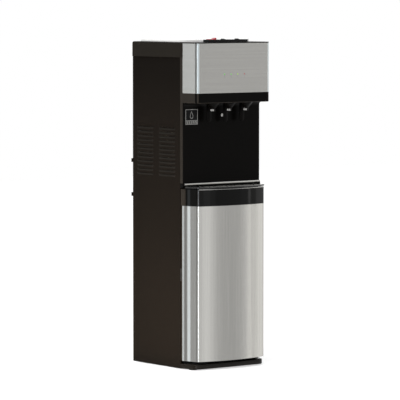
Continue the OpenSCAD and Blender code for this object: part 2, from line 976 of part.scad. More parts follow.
// Drip tray, its shelf and its grille.
pin_l = 12;
lip_h = 6;
ear_in = 10;
rim_gap = 2;
rim_t = 2.5;
grille_t = 2;
shelf_gap = 2.5;
bowl_wall = 2;
bowl_rear = tray_rear - wall;
rim_z = door_top + rim_gap;
rim_top = rim_z + rim_t;
grille_z = rim_top + run_gap;
bowl_z = rim_z - bowl_h;
pocket_front = door_t + shelf_gap;
pocket_z = bowl_z - tray_play - wall;
slot_margin = 5;

// The bowl's outline, which follows the door's inner face. Its walls lie t inside the pocket.
module bowl_plan(t) {
  intersection() {
    plan_2d(half_w, bowl_rear - t, door_front_half, door_corner_y, door_front, door_corner_r,
      return_t + t, pocket_front + t);
    translate([-bowl_half - tray_play - wall + t, door_front])
      square([2 * (bowl_half + tray_play + wall - t), half_w]);
  }
}

module tray_shelf() {
  color(black)
    difference() {
      union() {
        block([-half_w, niche_y + niche_edge_r, shelf_z], [half_w, front_y, niche_z]);
        block([-half_w + niche_edge_r, niche_y, shelf_z],
          [half_w - niche_edge_r, front_y, niche_z]);
        for (s = [-1, 1])
          rod_z(s * (half_w - niche_edge_r), niche_y + niche_edge_r, niche_edge_r, shelf_z, niche_z);
        block([-half_w + niche_edge_r, niche_y - shelf_lip + lip_h / 2, niche_z - lip_h],
          [half_w - niche_edge_r, niche_y + cut, niche_z]);
        rod_x(niche_y - shelf_lip + lip_h / 2, niche_z - lip_h / 2, lip_h / 2,
          -half_w + niche_edge_r, half_w - niche_edge_r);
        block([hinge_x - ear_in, niche_y - shelf_lip, shelf_z],
          [half_w - niche_edge_r, niche_y + cut, niche_z - lip_h / 2]);
        translate([0, 0, pocket_z])
          linear_extrude(door_top - pocket_z)
            bowl_plan(0);
        block([-bowl_half - tray_play - wall, bowl_rear - cut, pocket_z],
          [bowl_half + tray_play + wall, front_y, pocket_z + wall]);
        block([-bowl_half - tray_play - wall, bowl_rear - wall, pocket_z],
          [bowl_half + tray_play + wall, bowl_rear, door_top]);
        block([-bowl_half - tray_play - wall, front_y - wall, pocket_z],
          [bowl_half + tray_play + wall, front_y, shelf_z + cut]);
      }
      translate([0, 0, pocket_z + wall])
        linear_extrude(door_top - pocket_z)
          bowl_plan(wall);
      rod_z(hinge_x, hinge_y, hinge_pin_r, shelf_z - cut, shelf_z + pin_l - rim_gap);
    }
}

module drip_tray() {
  color(black)
    union() {
      difference() {
        translate([0, 0, rim_z])
          linear_extrude(rim_t)
            tray_plan(skin_t + tray_play);
        translate([0, 0, rim_z - cut])
          linear_extrude(rim_t + 2 * cut)
            bowl_plan(wall + tray_play + bowl_wall);
      }
      difference() {
        translate([0, 0, bowl_z])
          linear_extrude(bowl_h + cut)
            bowl_plan(wall + tray_play);
        translate([0, 0, bowl_z + bowl_wall])
          linear_extrude(bowl_h)
            bowl_plan(wall + tray_play + bowl_wall);
      }
    }
}

module drip_grille() {
  color(steel)
    difference() {
      translate([0, 0, rim_z])
        linear_extrude(rim_t + run_gap + grille_t)
          tray_plan(0);
      translate([0, 0, rim_z - cut])
        linear_extrude(rim_t + run_gap + cut)
          union() {
            tray_plan(skin_t);
            translate([-half_w + tray_over + skin_t + wall, tray_rear - cut])
              square([2 * (half_w - tray_over - skin_t - wall), 2 * cut]);
          }
      intersection() {
        translate([0, 0, rim_z])
          linear_extrude(rim_t + grille_t + 2 * cut)
            bowl_plan(wall + tray_play + slot_margin);
        union()
          for (x = [-slot_pitch * 11:slot_pitch:slot_pitch * 11])
            block([x - slot_w / 2, door_front, rim_z],
              [x + slot_w / 2, tray_rear, grille_z + grille_t + cut]);
      }
    }
}

module switch_bezel() {
  color(black)
    difference() {
      translate([0, bezel_y, cab_h])
        linear_extrude(bezel_h)
          rounded_rect(bezel_l, bezel_d, wall);
      for (i = [-1:1])
        translate([i * rocker_pitch, bezel_y, cab_h - cut])
          linear_extrude(bezel_h + 2 * cut)
            square([rocker_l + 2 * rocker_play + 3, rocker_w + 2 * rocker_play], center = true);
    }
}

body_side = 2;
body_drop = 22;
seat_drop = 6;

module switch_bodies() {
  color(dark)
    for (i = [-1:1])
      difference() {
        block([i * rocker_pitch - rocker_l / 2 - body_side, bezel_y - rocker_w / 2,
          cab_h - wall - body_drop],
          [i * rocker_pitch + rocker_l / 2 + body_side, bezel_y + rocker_w / 2, cab_h]);
        block([i * rocker_pitch - rocker_l / 2, bezel_y - rocker_w / 2 - cut, cab_h - seat_drop],
          [i * rocker_pitch + rocker_l / 2, bezel_y + rocker_w / 2 + cut, cab_h + cut]);
      }
}

// A rocker, tilted about its axis, with two pressing faces that meet in a shallow valley.
module rocker(i, tilt, end, mid) {
  translate([i * rocker_pitch, bezel_y + rocker_w / 2, rocker_z])
    rotate([90, 0, 0])
      linear_extrude(rocker_w)
        rotate(tilt)
          union() {
            polygon([[-rocker_l / 2, 0], [-rocker_l / 4, -rocker_low], [rocker_l / 4, -rocker_low],
              [rocker_l / 2, 0], [rocker_l / 2, end], [0, mid], [-rocker_l / 2, end]]);
            circle(rocker_low + small_r / 2);
          }
}

module rocker_left() {
  color("red")
    rocker(-1, rocker_tilt, rocker_end, rocker_mid);
}

module rocker_middle() {
  color(black)
    rocker(0, -rocker_tilt, key_end, key_mid);
}

module rocker_right() {
  color(black)
    rocker(1, -rocker_tilt, key_end, key_mid);
}

// Door. Its front is a shallow bowed box: a steel skin over a ribbed panel between two caps.
bush_w = 1.6;
bush_r = hinge_pin_r + bush_w;
cap_boss_w = 1.8;
cap_boss_r = bush_r + cap_boss_w;
low_cap_h = 16;
rib_pitch = 40;
strike_in = 1.4;
strike_t = 1.2;
strike_w = 5;
strike_h = 40;
strike_z = door_z + door_h / 2;
magnet_gap = 0.5;

module door_ring(t) {
  difference() {
    door_plan(t);
    door_hollow(door_t, return_t + small_r);
  }
}

module door_skin() {
  color(steel)
    translate([0, 0, door_z])
      linear_extrude(skin_top - door_z)
        difference() {
          door_plan(0);
          door_plan(skin_t);
        }
}

module door_panel() {
  color(black)
    difference() {
      translate([0, 0, door_z + low_cap_h])
        linear_extrude(skin_top - door_z - low_cap_h)
          union() {
            difference() {
              door_plan(skin_t);
              door_hollow(skin_t + wall, return_t);
            }
            intersection() {
              door_ring(skin_t);
              for (x = [-rib_pitch * 2.5:rib_pitch:rib_pitch * 2.5])
                translate([x - rib_t / 2, door_front])
                  square([rib_t, half_w]);
            }
          }
      strike_pocket();
    }
}

module strike_pocket() {
  block([-half_w + strike_in, door_rear - strike_t, strike_z - strike_h / 2],
    [-half_w + strike_in + strike_w, door_rear + cut, strike_z + strike_h / 2]);
}

module strike_plate() {
  color(steel)
    block([-half_w + strike_in, door_rear - strike_t, strike_z - strike_h / 2],
      [-half_w + strike_in + strike_w, door_rear, strike_z + strike_h / 2]);
}

module catch_magnet() {
  color(dark)
    block([-half_w + strike_in, door_rear + magnet_gap, strike_z - strike_h / 2],
      [-half_w + strike_in + strike_w, front_y, strike_z + strike_h / 2]);
}

module door_top_cap() {
  color(black)
    difference() {
      union() {
        translate([0, 0, skin_top])
          linear_extrude(band_h)
            difference() {
              door_plan(0);
              door_hollow(wall, return_t);
            }
        translate([0, 0, door_top - wall])
          linear_extrude(wall)
            door_ring(0);
        intersection() {
          rod_z(hinge_x, hinge_y, cap_boss_r, door_top - pin_l - wall, door_top);
          translate([0, 0, skin_top])
            linear_extrude(band_h)
              door_plan(0);
        }
      }
      rod_z(hinge_x, hinge_y, bush_r, door_top - pin_l - cut, door_top + cut);
    }
}

module door_bottom_cap() {
  color(black)
    difference() {
      union() {
        translate([0, 0, door_z])
          linear_extrude(wall)
            door_ring(skin_t);
        translate([0, 0, door_z])
          linear_extrude(low_cap_h)
            difference() {
              door_plan(skin_t);
              door_hollow(skin_t + wall, return_t);
            }
        intersection() {
          rod_z(hinge_x, hinge_y, cap_boss_r, door_z, door_z + low_cap_h);
          translate([0, 0, door_z])
            linear_extrude(low_cap_h)
              door_plan(skin_t);
        }
      }
      rod_z(hinge_x, hinge_y, bush_r, door_z - cut, door_z + pin_l + cut);
    }
}

module hinge_bushes() {
  color("white")
    for (z = [door_z, door_top - pin_l])
      difference() {
        rod_z(hinge_x, hinge_y, bush_r, z, z + pin_l);
        rod_z(hinge_x, hinge_y, hinge_pin_r + hinge_play, z - cut, z + pin_l + cut);
      }
}

module hinge_pins() {
  color(steel) {
    union() {
      rod_z(hinge_x, hinge_y, hinge_pin_r, base_z + wall, door_z + pin_l - rim_gap);
      rod_z(hinge_x, hinge_y, collar_r, base_top, door_z - run_gap);
    }
    union() {
      rod_z(hinge_x, hinge_y, hinge_pin_r, door_top - pin_l + rim_gap, shelf_z + pin_l - rim_gap);
      rod_z(hinge_x, hinge_y, collar_r, door_top + run_gap, shelf_z);
    }
  }
}

// Filter bay: two cartridges that twist into heads under a bracket on the partition.
filter_drop = 120;
head_top = niche_z - filter_drop;
filter_head_h = 42;
filter_head_r = filter_r + wall;
neck_l = 20;
cartridge_top = head_top - filter_head_h - run_gap;
bracket_side = 40;
bracket_half = filter_pitch / 2 + bracket_side;
bracket_up = 30;

module filter_bracket() {
  color(steel)
    union() {
      block([-bracket_half, filter_y - filter_head_r, head_top],
        [bracket_half, partition_y, head_top + 2 * sheet_t]);
      block([-bracket_half, partition_y - 2 * sheet_t, head_top],
        [bracket_half, partition_y, head_top + bracket_up]);
    }
}

module filter_heads() {
  color("white")
    for (s = [-1, 1])
      difference() {
        rod_z(s * filter_pitch / 2, filter_y, filter_head_r, head_top - filter_head_h, head_top);
        rod_z(s * filter_pitch / 2, filter_y, neck_r + neck_play,
          head_top - filter_head_h - cut, head_top - filter_head_h + neck_l + 2);
      }
}

module filter_cartridge(s) {
  color("white")
    union() {
      rod_z(s * filter_pitch / 2, filter_y, filter_r, cartridge_top - filter_l,
        cartridge_top - small_r);
      rod_z(s * filter_pitch / 2, filter_y, filter_r - small_r, cartridge_top - filter_l - small_r,
        cartridge_top);
      rod_z(s * filter_pitch / 2, filter_y, neck_r, cartridge_top - cut,
        cartridge_top + neck_l);
      for (a = [0:60:120])
        translate([s * filter_pitch / 2, filter_y, cartridge_top - filter_l - small_r])
          rotate(a)
            translate([-filter_r + small_r, -small_r, 0])
              cube([2 * (filter_r - small_r), 2 * small_r, small_r]);
    }
}

module filter_left() {
  filter_cartridge(-1);
}

module filter_right() {
  filter_cartridge(1);
}

// Connections on the rear panel.
fitting_out = 16;
fitting_in = 12;
nut_r = 14;
nut_t = 6;

module inlet_fitting() {
  color("white")
    difference() {
      union() {
        rod_y(inlet_x, inlet_z, fitting_r, back_y - fitting_in, back_y + fitting_out);
        translate([inlet_x, back_y + nut_t, inlet_z])
          rotate([90, 0, 0])
            cylinder(r = nut_r, h = nut_t, $fn = 6);
        translate([inlet_x, back_y - sheet_t, inlet_z])
          rotate([90, 0, 0])
            cylinder(r = nut_r, h = nut_t, $fn = 6);
      }
      rod_y(inlet_x, inlet_z, inlet_tube_r + inlet_play, back_y + fitting_out - inlet_l,
        back_y + fitting_out + cut);
      rod_y(inlet_x, inlet_z, spout_bore_r / 2, back_y - fitting_in - cut,
        back_y + fitting_out);
    }
}

valve_up = 30;
valve_z = head_top + valve_up;
valve_w = 36;
valve_h = 30;

port_h = 8;

module inlet_valve() {
  color("white")
    union() {
      block([tube_side_x - valve_w / 2, tube_front_y - valve_w / 3, valve_z],
        [tube_side_x + valve_w / 2, partition_y, valve_z + valve_h]);
      rod_z(tube_side_x, tube_front_y, tube_r + wall, valve_z - port_h, valve_z + cut);
      rod_z(tube_side_x, tube_front_y, tube_r + wall, valve_z + valve_h - cut,
        valve_z + valve_h + port_h);
    }
}

module cord_gland() {
  color(black)
    difference() {
      union() {
        rod_y(gland_x, gland_z, gland_body_r, back_y - fitting_in, back_y + fitting_out);
        rod_y(gland_x, gland_z, gland_body_r + wall, back_y, back_y + wall);
        rod_y(gland_x, gland_z, gland_body_r + wall, back_y - sheet_t - wall, back_y - sheet_t);
      }
      rod_y(gland_x, gland_z, gland_r, back_y - fitting_in - cut, back_y + fitting_out + cut);
    }
}

drain_out = 14;
cap_w = 4;
cap_r = drain_r + cap_w;
cap_l = 13;
drain_bore_r = drain_r - wall;

module drain_outlets() {
  color(black)
    for (s = [-1, 1])
      difference() {
        union() {
          rod_y(s * drain_pitch / 2, drain_z, drain_r, back_y - fitting_in, back_y + drain_out);
          rod_y(s * drain_pitch / 2, drain_z, cap_r, back_y - sheet_t - wall, back_y - sheet_t);
        }
        rod_y(s * drain_pitch / 2, drain_z, drain_bore_r, back_y - fitting_in - cut,
          back_y + drain_out + cut);
      }
}

module drain_cap(s) {
  color(black)
    difference() {
      union() {
        rod_y(s * drain_pitch / 2, drain_z, cap_r, back_y + wall, back_y + wall + cap_l);
        for (a = [0:45:315])
          translate([s * drain_pitch / 2, back_y + wall, drain_z])
            rotate([-90, 0, 0])
              rotate(a)
                translate([cap_r - small_r, -small_r, 0])
                  cube([2 * small_r, 2 * small_r, cap_l]);
      }
      rod_y(s * drain_pitch / 2, drain_z, drain_r + hinge_play, back_y + wall - cut,
        back_y + drain_out + run_gap);
    }
}

module drain_cap_left() {
  drain_cap(-1);
}

module drain_cap_right() {
  drain_cap(1);
}

// Tanks on the deck, side by side in foam.
tank_y = 25;
tank_wall = 1;
coil_t = 6;
cold_foam_r = cold_r + foam_t;
hot_foam_r = hot_r + foam_t - coil_t;
tank_room = 2 * (inner_half - cold_foam_r - hot_foam_r);
cold_x = cold_foam_r + 0.18 * tank_room - inner_half;
hot_x = inner_half - hot_foam_r - 0.4 * tank_room;
tank_z = deck_z + sheet_t + foam_t;
outlet_r = 6;
outlet_h = 14;

module tank(x, r, h) {
  difference() {
    union() {
      rod_z(x, tank_y, r, tank_z, tank_z + h);
      rod_z(x, tank_y, outlet_r, tank_z + h - cut, tank_z + h + foam_t + outlet_h);
    }
    rod_z(x, tank_y, r - tank_wall, tank_z + tank_wall, tank_z + h - tank_wall);
    rod_z(x, tank_y, outlet_r - tank_wall, tank_z + h / 2, tank_z + h + foam_t + outlet_h + cut);
  }
}

module cold_tank() {
  color(steel)
    tank(cold_x, cold_r, cold_h);
}

module hot_tank() {
  color(steel)
    tank(hot_x, hot_r, hot_h);
}

module foam(x, inner, h) {
  difference() {
    rod_z(x, tank_y, inner + foam_t - coil_t, deck_z + sheet_t, tank_z + h + foam_t);
    rod_z(x, tank_y, inner, tank_z, tank_z + h);
    rod_z(x, tank_y, outlet_r, tank_z + h - cut, tank_z + h + foam_t + cut);
  }
}

module tank_foam() {
  color("white") {
    foam(cold_x, cold_r + coil_t, cold_h);
    foam(hot_x, hot_r, hot_h);
  }
}

// Refrigeration: compressor, condenser in the recess and the lines between them.
comp_x = 0;
comp_gap = 8;
comp_y = partition_y + sheet_t + comp_r + comp_gap;
mount_h = 14;
comp_z = base_top + mount_h;
comp_edge = 30;
relay_half = 22;
relay_out = 6;
relay_in = 12;
foot_plate_w = 150;
foot_plate_d = 90;
grommet_r = 9;

module compressor() {
  color(black)
    union() {
      translate([comp_x, comp_y, comp_z])
        rotate_extrude()
          union() {
            square([comp_r - comp_edge, comp_h]);
            translate([0, comp_edge])
              square([comp_r, comp_h - 2 * comp_edge]);
            for (z = [comp_edge, comp_h - comp_edge])
              translate([comp_r - comp_edge, z])
                circle(comp_edge);
          }
      block([comp_x - foot_plate_w / 2, comp_y - foot_plate_d / 2, comp_z],
        [comp_x + foot_plate_w / 2, comp_y + foot_plate_d / 2, comp_z + wall]);
      block([comp_x - relay_half, comp_y - comp_r - relay_out, comp_z + comp_h / 3],
        [comp_x + relay_half, comp_y - comp_r + relay_in, comp_z + comp_h * 2 / 3]);
    }
}

module compressor_mounts() {
  color(dark)
    for (sx = [-1, 1], sy = [-1, 1])
      rod_z(comp_x + sx * (foot_plate_w / 2 - grommet_r - 2),
        comp_y + sy * (foot_plate_d / 2 - grommet_r - 2), grommet_r, base_top, comp_z);
}

cond_half = 115;
cond_out = 14;
cond_y = back_y + cond_out;
rail_pass = [7, 11];
cond_drop = 48;
cond_low = niche_z - cond_drop - rail_pass[0] * cond_pitch;
wire_r = 0.8;
wire_n = 20;
wire_end = 6;
function wire_x(i) = (2 * i / (wire_n - 1) - 1) * (cond_half - wire_end);
line_x = cond_half + cond_pitch / 2;
discharge_z = cond_low;
suction_z = deck_z - foam_t;
suction_x = cold_x - cold_r / 2;

module condenser() {
  color(black)
    union() {
      for (i = [0:cond_n - 1])
        rod_x(cond_y, cond_low + i * cond_pitch, cond_r, -cond_half, cond_half);
      for (i = [0:cond_n - 2])
        translate([(i % 2 == 0 ? -1 : 1) * cond_half, cond_y, cond_low + (i + 0.5) * cond_pitch])
          rotate([90, 0, 0])
            rotate([0, 0, i % 2 == 0 ? 90 : -90])
              rotate_extrude(angle = 180)
                translate([cond_pitch / 2, 0])
                  circle(cond_r);
      for (i = [0:wire_n - 1])
        block([wire_x(i) - wire_r, cond_y + cond_r - wire_r / 2, cond_low - wire_end],
          [wire_x(i) + wire_r, cond_y + cond_r + wire_r, cond_low + (cond_n - 1) * cond_pitch + wire_end]);
    }
}

rail_h = 12;
rail_out = 8;
rail_foot = 10;
clip_w = 8;

module condenser_rails() {
  color(black)
    for (i = rail_pass)
      translate([0, 0, cond_low + i * cond_pitch])
        union() {
          block([-half_w + sheet_t / 2, panel_rear + rail_out - small_r, -rail_h / 2],
            [half_w - sheet_t / 2, panel_rear + rail_out, rail_h / 2]);
          for (s = [-1, 1])
            block([s * (half_w - rail_foot / 2) - rail_foot / 2 + (s < 0 ? sheet_t / 2 : 0),
              panel_rear, -rail_h / 2],
              [s * (half_w - rail_foot / 2) + rail_foot / 2 - (s > 0 ? sheet_t / 2 : 0),
                panel_rear + rail_out, rail_h / 2]);
          for (s = [-1, 1])
            block([s * wire_x(wire_n - 1.5) - clip_w / 2, cond_y + cond_r, -rail_h / 4],
              [s * wire_x(wire_n - 1.5) + clip_w / 2, panel_rear + rail_out - cut, rail_h / 4]);
        }
}

// A bent tube along points that differ along one axis at a time.
module bent_tube(points, r) {
  union()
    for (i = [0:len(points) - 2])
      let (a = points[i], b = points[i + 1]) {
        if (a[0] != b[0])
          rod_x(a[1], a[2], r, min(a[0], b[0]), max(a[0], b[0]));
        if (a[1] != b[1])
          rod_y(a[0], a[2], r, min(a[1], b[1]), max(a[1], b[1]));
        if (a[2] != b[2])
          rod_z(a[0], a[1], r, min(a[2], b[2]), max(a[2], b[2]));
        if (i > 0)
          translate(a)
            sphere(r);
      }
}

module refrigerant_lines() {
  color([0.7, 0.4, 0.25]) {
    bent_tube([[comp_x + comp_r, comp_y, comp_z + comp_h / 2],
      [line_x, comp_y, comp_z + comp_h / 2], [line_x, comp_y, discharge_z],
      [line_x, cond_y, discharge_z], [cond_half, cond_y, discharge_z]], cond_r);
    bent_tube([[comp_x - comp_r, comp_y, comp_z + comp_h / 2],
      [suction_x, comp_y, comp_z + comp_h / 2], [suction_x, comp_y, suction_z],
      [suction_x, tank_y, suction_z], [suction_x, tank_y, deck_z + sheet_t]], cond_r);
    difference() {
      rod_z(cold_x, tank_y, cold_r + coil_t, tank_z + 2 * foam_t, tank_z + cold_h - foam_t);
      rod_z(cold_x, tank_y, cold_r, tank_z + foam_t, tank_z + cold_h);
    }
  }
}

line_up = 52;
line_step = 14;
line_z = head_z + line_up;
line_high_z = line_z + line_step;
barb_top = head_z + wall + shank_h + barb_h;
head_port_z = head_top - filter_head_h / 2;
tank_top = tank_z + foam_t + outlet_h;
cold_top = tank_top + cold_h;
hot_top = tank_top + hot_h;
feed_up = 20;
feed_z = cold_top + feed_up;

module water_lines() {
  color("white") {
    bent_tube([[inlet_x, back_y - fitting_in, inlet_z], [inlet_x, tube_front_y, inlet_z],
      [inlet_x, tube_front_y, head_port_z],
      [-filter_pitch / 2 - filter_head_r, tube_front_y, head_port_z]], tube_r);
    bent_tube([[-filter_pitch / 2 + filter_head_r, tube_front_y, head_port_z],
      [filter_pitch / 2 - filter_head_r, tube_front_y, head_port_z]], tube_r);
    bent_tube([[filter_pitch / 2 + filter_head_r, tube_front_y, head_port_z],
      [tube_side_x, tube_front_y, head_port_z], [tube_side_x, tube_front_y, valve_z - 8]], tube_r);
    bent_tube([[tube_side_x, tube_front_y, valve_z + valve_h + 8],
      [tube_side_x, tube_front_y, feed_z], [cold_x, tube_front_y, feed_z],
      [cold_x, tank_y, feed_z], [cold_x, tank_y, cold_top]], tube_r);
    bent_tube([[spout_x(-1), tank_y - cold_r / 2, cold_top - outlet_h],
      [spout_x(-1), tank_y - cold_r / 2, line_z], [spout_x(-1), spout_y, line_z],
      [spout_x(-1), spout_y, barb_top]], tube_r);
    bent_tube([[cold_x + cold_r / 2, tank_y + cold_r / 2, cold_top - outlet_h],
      [cold_x + cold_r / 2, tank_y + cold_r / 2, line_high_z],
      [spout_x(0), tank_y + cold_r / 2, line_high_z],
      [spout_x(0), spout_y, line_high_z], [spout_x(0), spout_y, barb_top]], tube_r);
    bent_tube([[hot_x, tank_y, hot_top], [hot_x, tank_y, line_z], [spout_x(1), tank_y, line_z],
      [spout_x(1), spout_y, line_z], [spout_x(1), spout_y, barb_top]], tube_r);
  }
}

screw_r = 3.5;
screw_h = 1.8;
screw_n = 4;

module rear_screws() {
  color(steel)
    for (s = [-1, 1], i = [0:screw_n - 1])
      rod_y(s * (inner_half - flange_w / 2), door_z + (i + 0.5) * (skirt_z - door_z) / screw_n,
        screw_r, panel_rear, panel_rear + screw_h);
}

base_plinth();
feet();
side_panel_left();
side_panel_right();
rear_panel();
bay_partition();
top_cover();
fascia_housing();
fascia_skin();
status_lenses();
heat_lens();
indicator_board();
niche_panel();
niche_sticker();
tray_shelf();
spout_left();
spout_middle();
spout_right();
lever_left();
lever_middle();
lever_right();
lever_pins();
lever_switches();
child_lock();
drip_tray();
drip_grille();
top_lid();
switch_bezel();
switch_bodies();
rocker_left();
rocker_middle();
rocker_right();
door_skin();
door_panel();
door_top_cap();
door_bottom_cap();
hinge_bushes();
strike_plate();
catch_magnet();
hinge_pins();
filter_bracket();
filter_heads();
filter_left();
filter_right();
inlet_fitting();
inlet_valve();
cord_gland();
drain_outlets();
drain_cap_left();
drain_cap_right();
cold_tank();
hot_tank();
tank_foam();
compressor();
compressor_mounts();
condenser();
condenser_rails();
refrigerant_lines();
water_lines();
rear_screws();
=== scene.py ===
# %% [markdown]
# # A bottleless water cooler
# The real machine is a steel cabinet between black mouldings. A control head with a brushed
# stainless face hangs over an open niche, three spouts look down into it, and a bowed door hides
# the filters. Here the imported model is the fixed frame, and every surface that the eye meets is
# made again as a smooth skin of the same size, so that light runs over it as over the real one.

# %% Load the frame
import math

import bmesh
import bpy
import numpy as np
from mathutils import Matrix, Vector
from mathutils.geometry import tessellate_polygon


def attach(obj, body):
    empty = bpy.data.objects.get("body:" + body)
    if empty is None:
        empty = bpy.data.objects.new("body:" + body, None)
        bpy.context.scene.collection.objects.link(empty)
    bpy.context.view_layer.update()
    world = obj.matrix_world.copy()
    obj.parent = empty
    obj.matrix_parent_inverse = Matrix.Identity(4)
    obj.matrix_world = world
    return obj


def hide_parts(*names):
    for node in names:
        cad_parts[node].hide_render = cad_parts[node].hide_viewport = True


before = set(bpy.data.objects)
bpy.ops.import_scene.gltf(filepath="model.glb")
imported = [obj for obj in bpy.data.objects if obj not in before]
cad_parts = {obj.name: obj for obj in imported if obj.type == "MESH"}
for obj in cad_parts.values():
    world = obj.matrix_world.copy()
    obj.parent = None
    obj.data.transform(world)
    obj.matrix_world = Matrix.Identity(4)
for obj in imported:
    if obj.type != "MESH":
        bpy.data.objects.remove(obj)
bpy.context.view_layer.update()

# %% [markdown]
# ## The sizes that the pieces share
# All sizes are millimetres in the frame of the solids: X to the right, Y to the rear, Z up from
# the floor. Keeping them in one cell lets each piece meet its neighbour without measuring it again.

# %% Shared sizes
MM = 0.001
HALF_W = 155.0
FRONT_Y, NICHE_Y, NICHE_BACK, HEAD_Y, REAR_Y = -86.0, -99.0, -96.0, -163.0, 170.0
BASE_Z, BASE_TOP = 4.0, 20.0
FEET = [(x, y) for x in (-124, 124) for y in (-113, 140)]
DOOR_Z, SKIN_TOP, DOOR_TOP = 29.0, 523.0, 577.0
DOOR_REAR, DOOR_CORNER_Y, DOOR_FRONT = -88.0, -152.0, -172.0
# Half the width across the front where a corner would be if it were sharp, and its radius.
DOOR_HALF, DOOR_ROUND, HEAD_HALF, HEAD_ROUND = 133.0, 18.0, 145.5, 11.4
HINGE = np.array([142.0, -102.0])
RIB_PITCH = 40.0
TRAY_UNDER, TRAY_TOP, GRILLE_SEAT, GRILLE_TOP = 579.0, 581.5, 581.8, 583.8
NICHE_Z, HEAD_Z = 594.0, 848.5
HEAD_SKIN_Z, SKIRT_Z, HEAD_SKIN_TOP, TOP_Z = 879.5, 992.0, 1037.0, 1040.0
# Where the head and the cap are three millimetres thick, and the top of the lid and the bezel.
INNER_TOP, RAISED_TOP = TOP_Z - 3.0, 1048.0
ORDER = ("left", "middle", "right")
SPOUTS = (-66.0, 0.0, 66.0)
SPOUT_Y, LEVER_Y, LEVER_Z = -140.0, -119.5, 858.5
ROCKERS = (-56.0, 0.0, 56.0)
BEZEL_Y = -120.0
print("cabinet", 2 * HALF_W, "wide,", TOP_Z, "high")

# %% [markdown]
# ## Surfaces from arrays
# A moulding or a pressed sheet is drawn as a section carried along a path. Each helper below
# works a whole grid out at once and joins neighbours into quads, so an edge radius is simply a
# few more rows of the grid. A flat face with holes is filled by tessellation instead.


# %% Grids, walls and plates
def grid(points, wrap_rows=False, wrap_cols=False, keep=None):
    """Quads between neighbours of a rows x columns grid; a wrapped side joins its last line to its first."""
    rows, cols = points.shape[:2]
    i, j = np.meshgrid(np.arange(rows - (not wrap_rows)), np.arange(cols - (not wrap_cols)), indexing="ij")
    i2, j2 = (i + 1) % rows, (j + 1) % cols
    quads = np.stack([i * cols + j, i * cols + j2, i2 * cols + j2, i2 * cols + j], -1).reshape(-1, 4)
    if keep is not None:
        quads = quads[keep.ravel()]
    return points.reshape(-1, 3), [quads]


def at_height(outline, z):
    """The plan points of an outline, lifted to height z."""
    return np.c_[outline, np.full(len(outline), float(z))]


def walls(outlines, heights):
    """A wall through outlines with equally many points, each at its own height."""
    return grid(np.stack([at_height(o, z) for o, z in zip(outlines, heights)]), wrap_cols=True)


def wall_of(outline_of, section):
    """A wall through outline_of(inset) at each (inset, height) of a section."""
    return walls([outline_of(t) for t, _ in section], [z for _, z in section])


def straight(outline, low, high):
    """An upright wall on one outline."""
    return walls([outline, outline], [low, high])


def plate(outline, holes, z):
    """A flat face at height z, inside the outline and outside the holes."""
    loops = [outline, *holes]
    points = np.concatenate([at_height(loop, z) for loop in loops])
    found = tessellate_polygon([np.c_[loop, np.zeros(len(loop))].tolist() for loop in loops])
    return points, [np.array(found)]


def carried(outline_of, section):
    """A closed section of (inset, ..., height) points carried along the open path outline_of(inset, ...)."""
    rows = np.stack([at_height(outline_of(*row[:-1]), row[-1]) for row in section])
    points, groups = grid(rows, wrap_rows=True)
    first = np.arange(len(section)) * rows.shape[1]
    return points, groups + [first[None, :], (first + rows.shape[1] - 1)[None, :]]


def solid(outline_of, section):
    """A wall of outline_of(inset) at its heights, closed by a flat face at each end."""
    ends = [plate(outline_of(t), [], z) for t, z in (section[0], section[-1])]
    return [wall_of(outline_of, section), *ends]


def extruded(profile, start, end):
    """A closed profile of (y, z) pairs pushed along X from start to end."""
    points, groups = straight(profile, start, end)
    ends = plate(profile, [], 0)[1][0]
    return points[:, [2, 0, 1]], groups + [ends, ends + len(profile)]


def turned(profile, centre, steps=48, flat_back=None):
    """A profile of (radius, height) turned about the vertical through centre; flat_back clips it at that Y."""
    a = np.linspace(0, 2 * math.pi, steps, endpoint=False)
    r, z = np.asarray(profile, float).T
    points = np.stack([centre[0] + r[:, None] * np.cos(a), centre[1] + r[:, None] * np.sin(a),
                       np.repeat(z[:, None], steps, 1)], -1)
    if flat_back is not None:
        points[..., 1] = np.minimum(points[..., 1], flat_back)
    return grid(points, wrap_cols=True)


def turned_y(profile, x, z, steps=40):
    """A profile of (radius, y) turned about the line through (x, z) that runs along Y."""
    points, groups = turned(profile, (0, 0), steps)
    return np.stack([x + points[:, 0], points[:, 2], z + points[:, 1]], -1), groups


def standing(parts):
    """Parts drawn in plan and turned up, so that plan Y becomes height and height becomes Y."""
    return [(part[0][:, [0, 2, 1]], *part[1:]) for part in parts]


def lying(part):
    """A part turned about the vertical, laid down so that its axis runs along X."""
    return part[0][:, [2, 0, 1]], *part[1:]


def mirrored(part):
    """The part on the other side of the cabinet, its faces turned so that they still look outwards."""
    points, groups = part[:2]
    return points * [-1, 1, 1], [g[:, ::-1] for g in groups], *part[2:]


def shown(part, mark):
    """The part with the number of the finish that it takes."""
    return part[0], part[1], mark


def split_off(part, chosen, mark):
    """Two parts from one: the faces whose middle passes the test take another finish."""
    points, groups = part[:2]
    there = chosen(points[groups[0]].mean(1))
    return [(points, [groups[0][~there], *groups[1:]]), (points, [groups[0][there]], mark)]


print("helpers ready")


# %% [markdown]
# ## Outlines
# Door, base, tray and head share one plan: straight tapering sides, a rounded corner and a
# shallow bow across the front. Writing it once keeps the pieces parallel. Each side also gets a
# point half a millimetre before its corner, which keeps the flat from taking up the corner's shade.


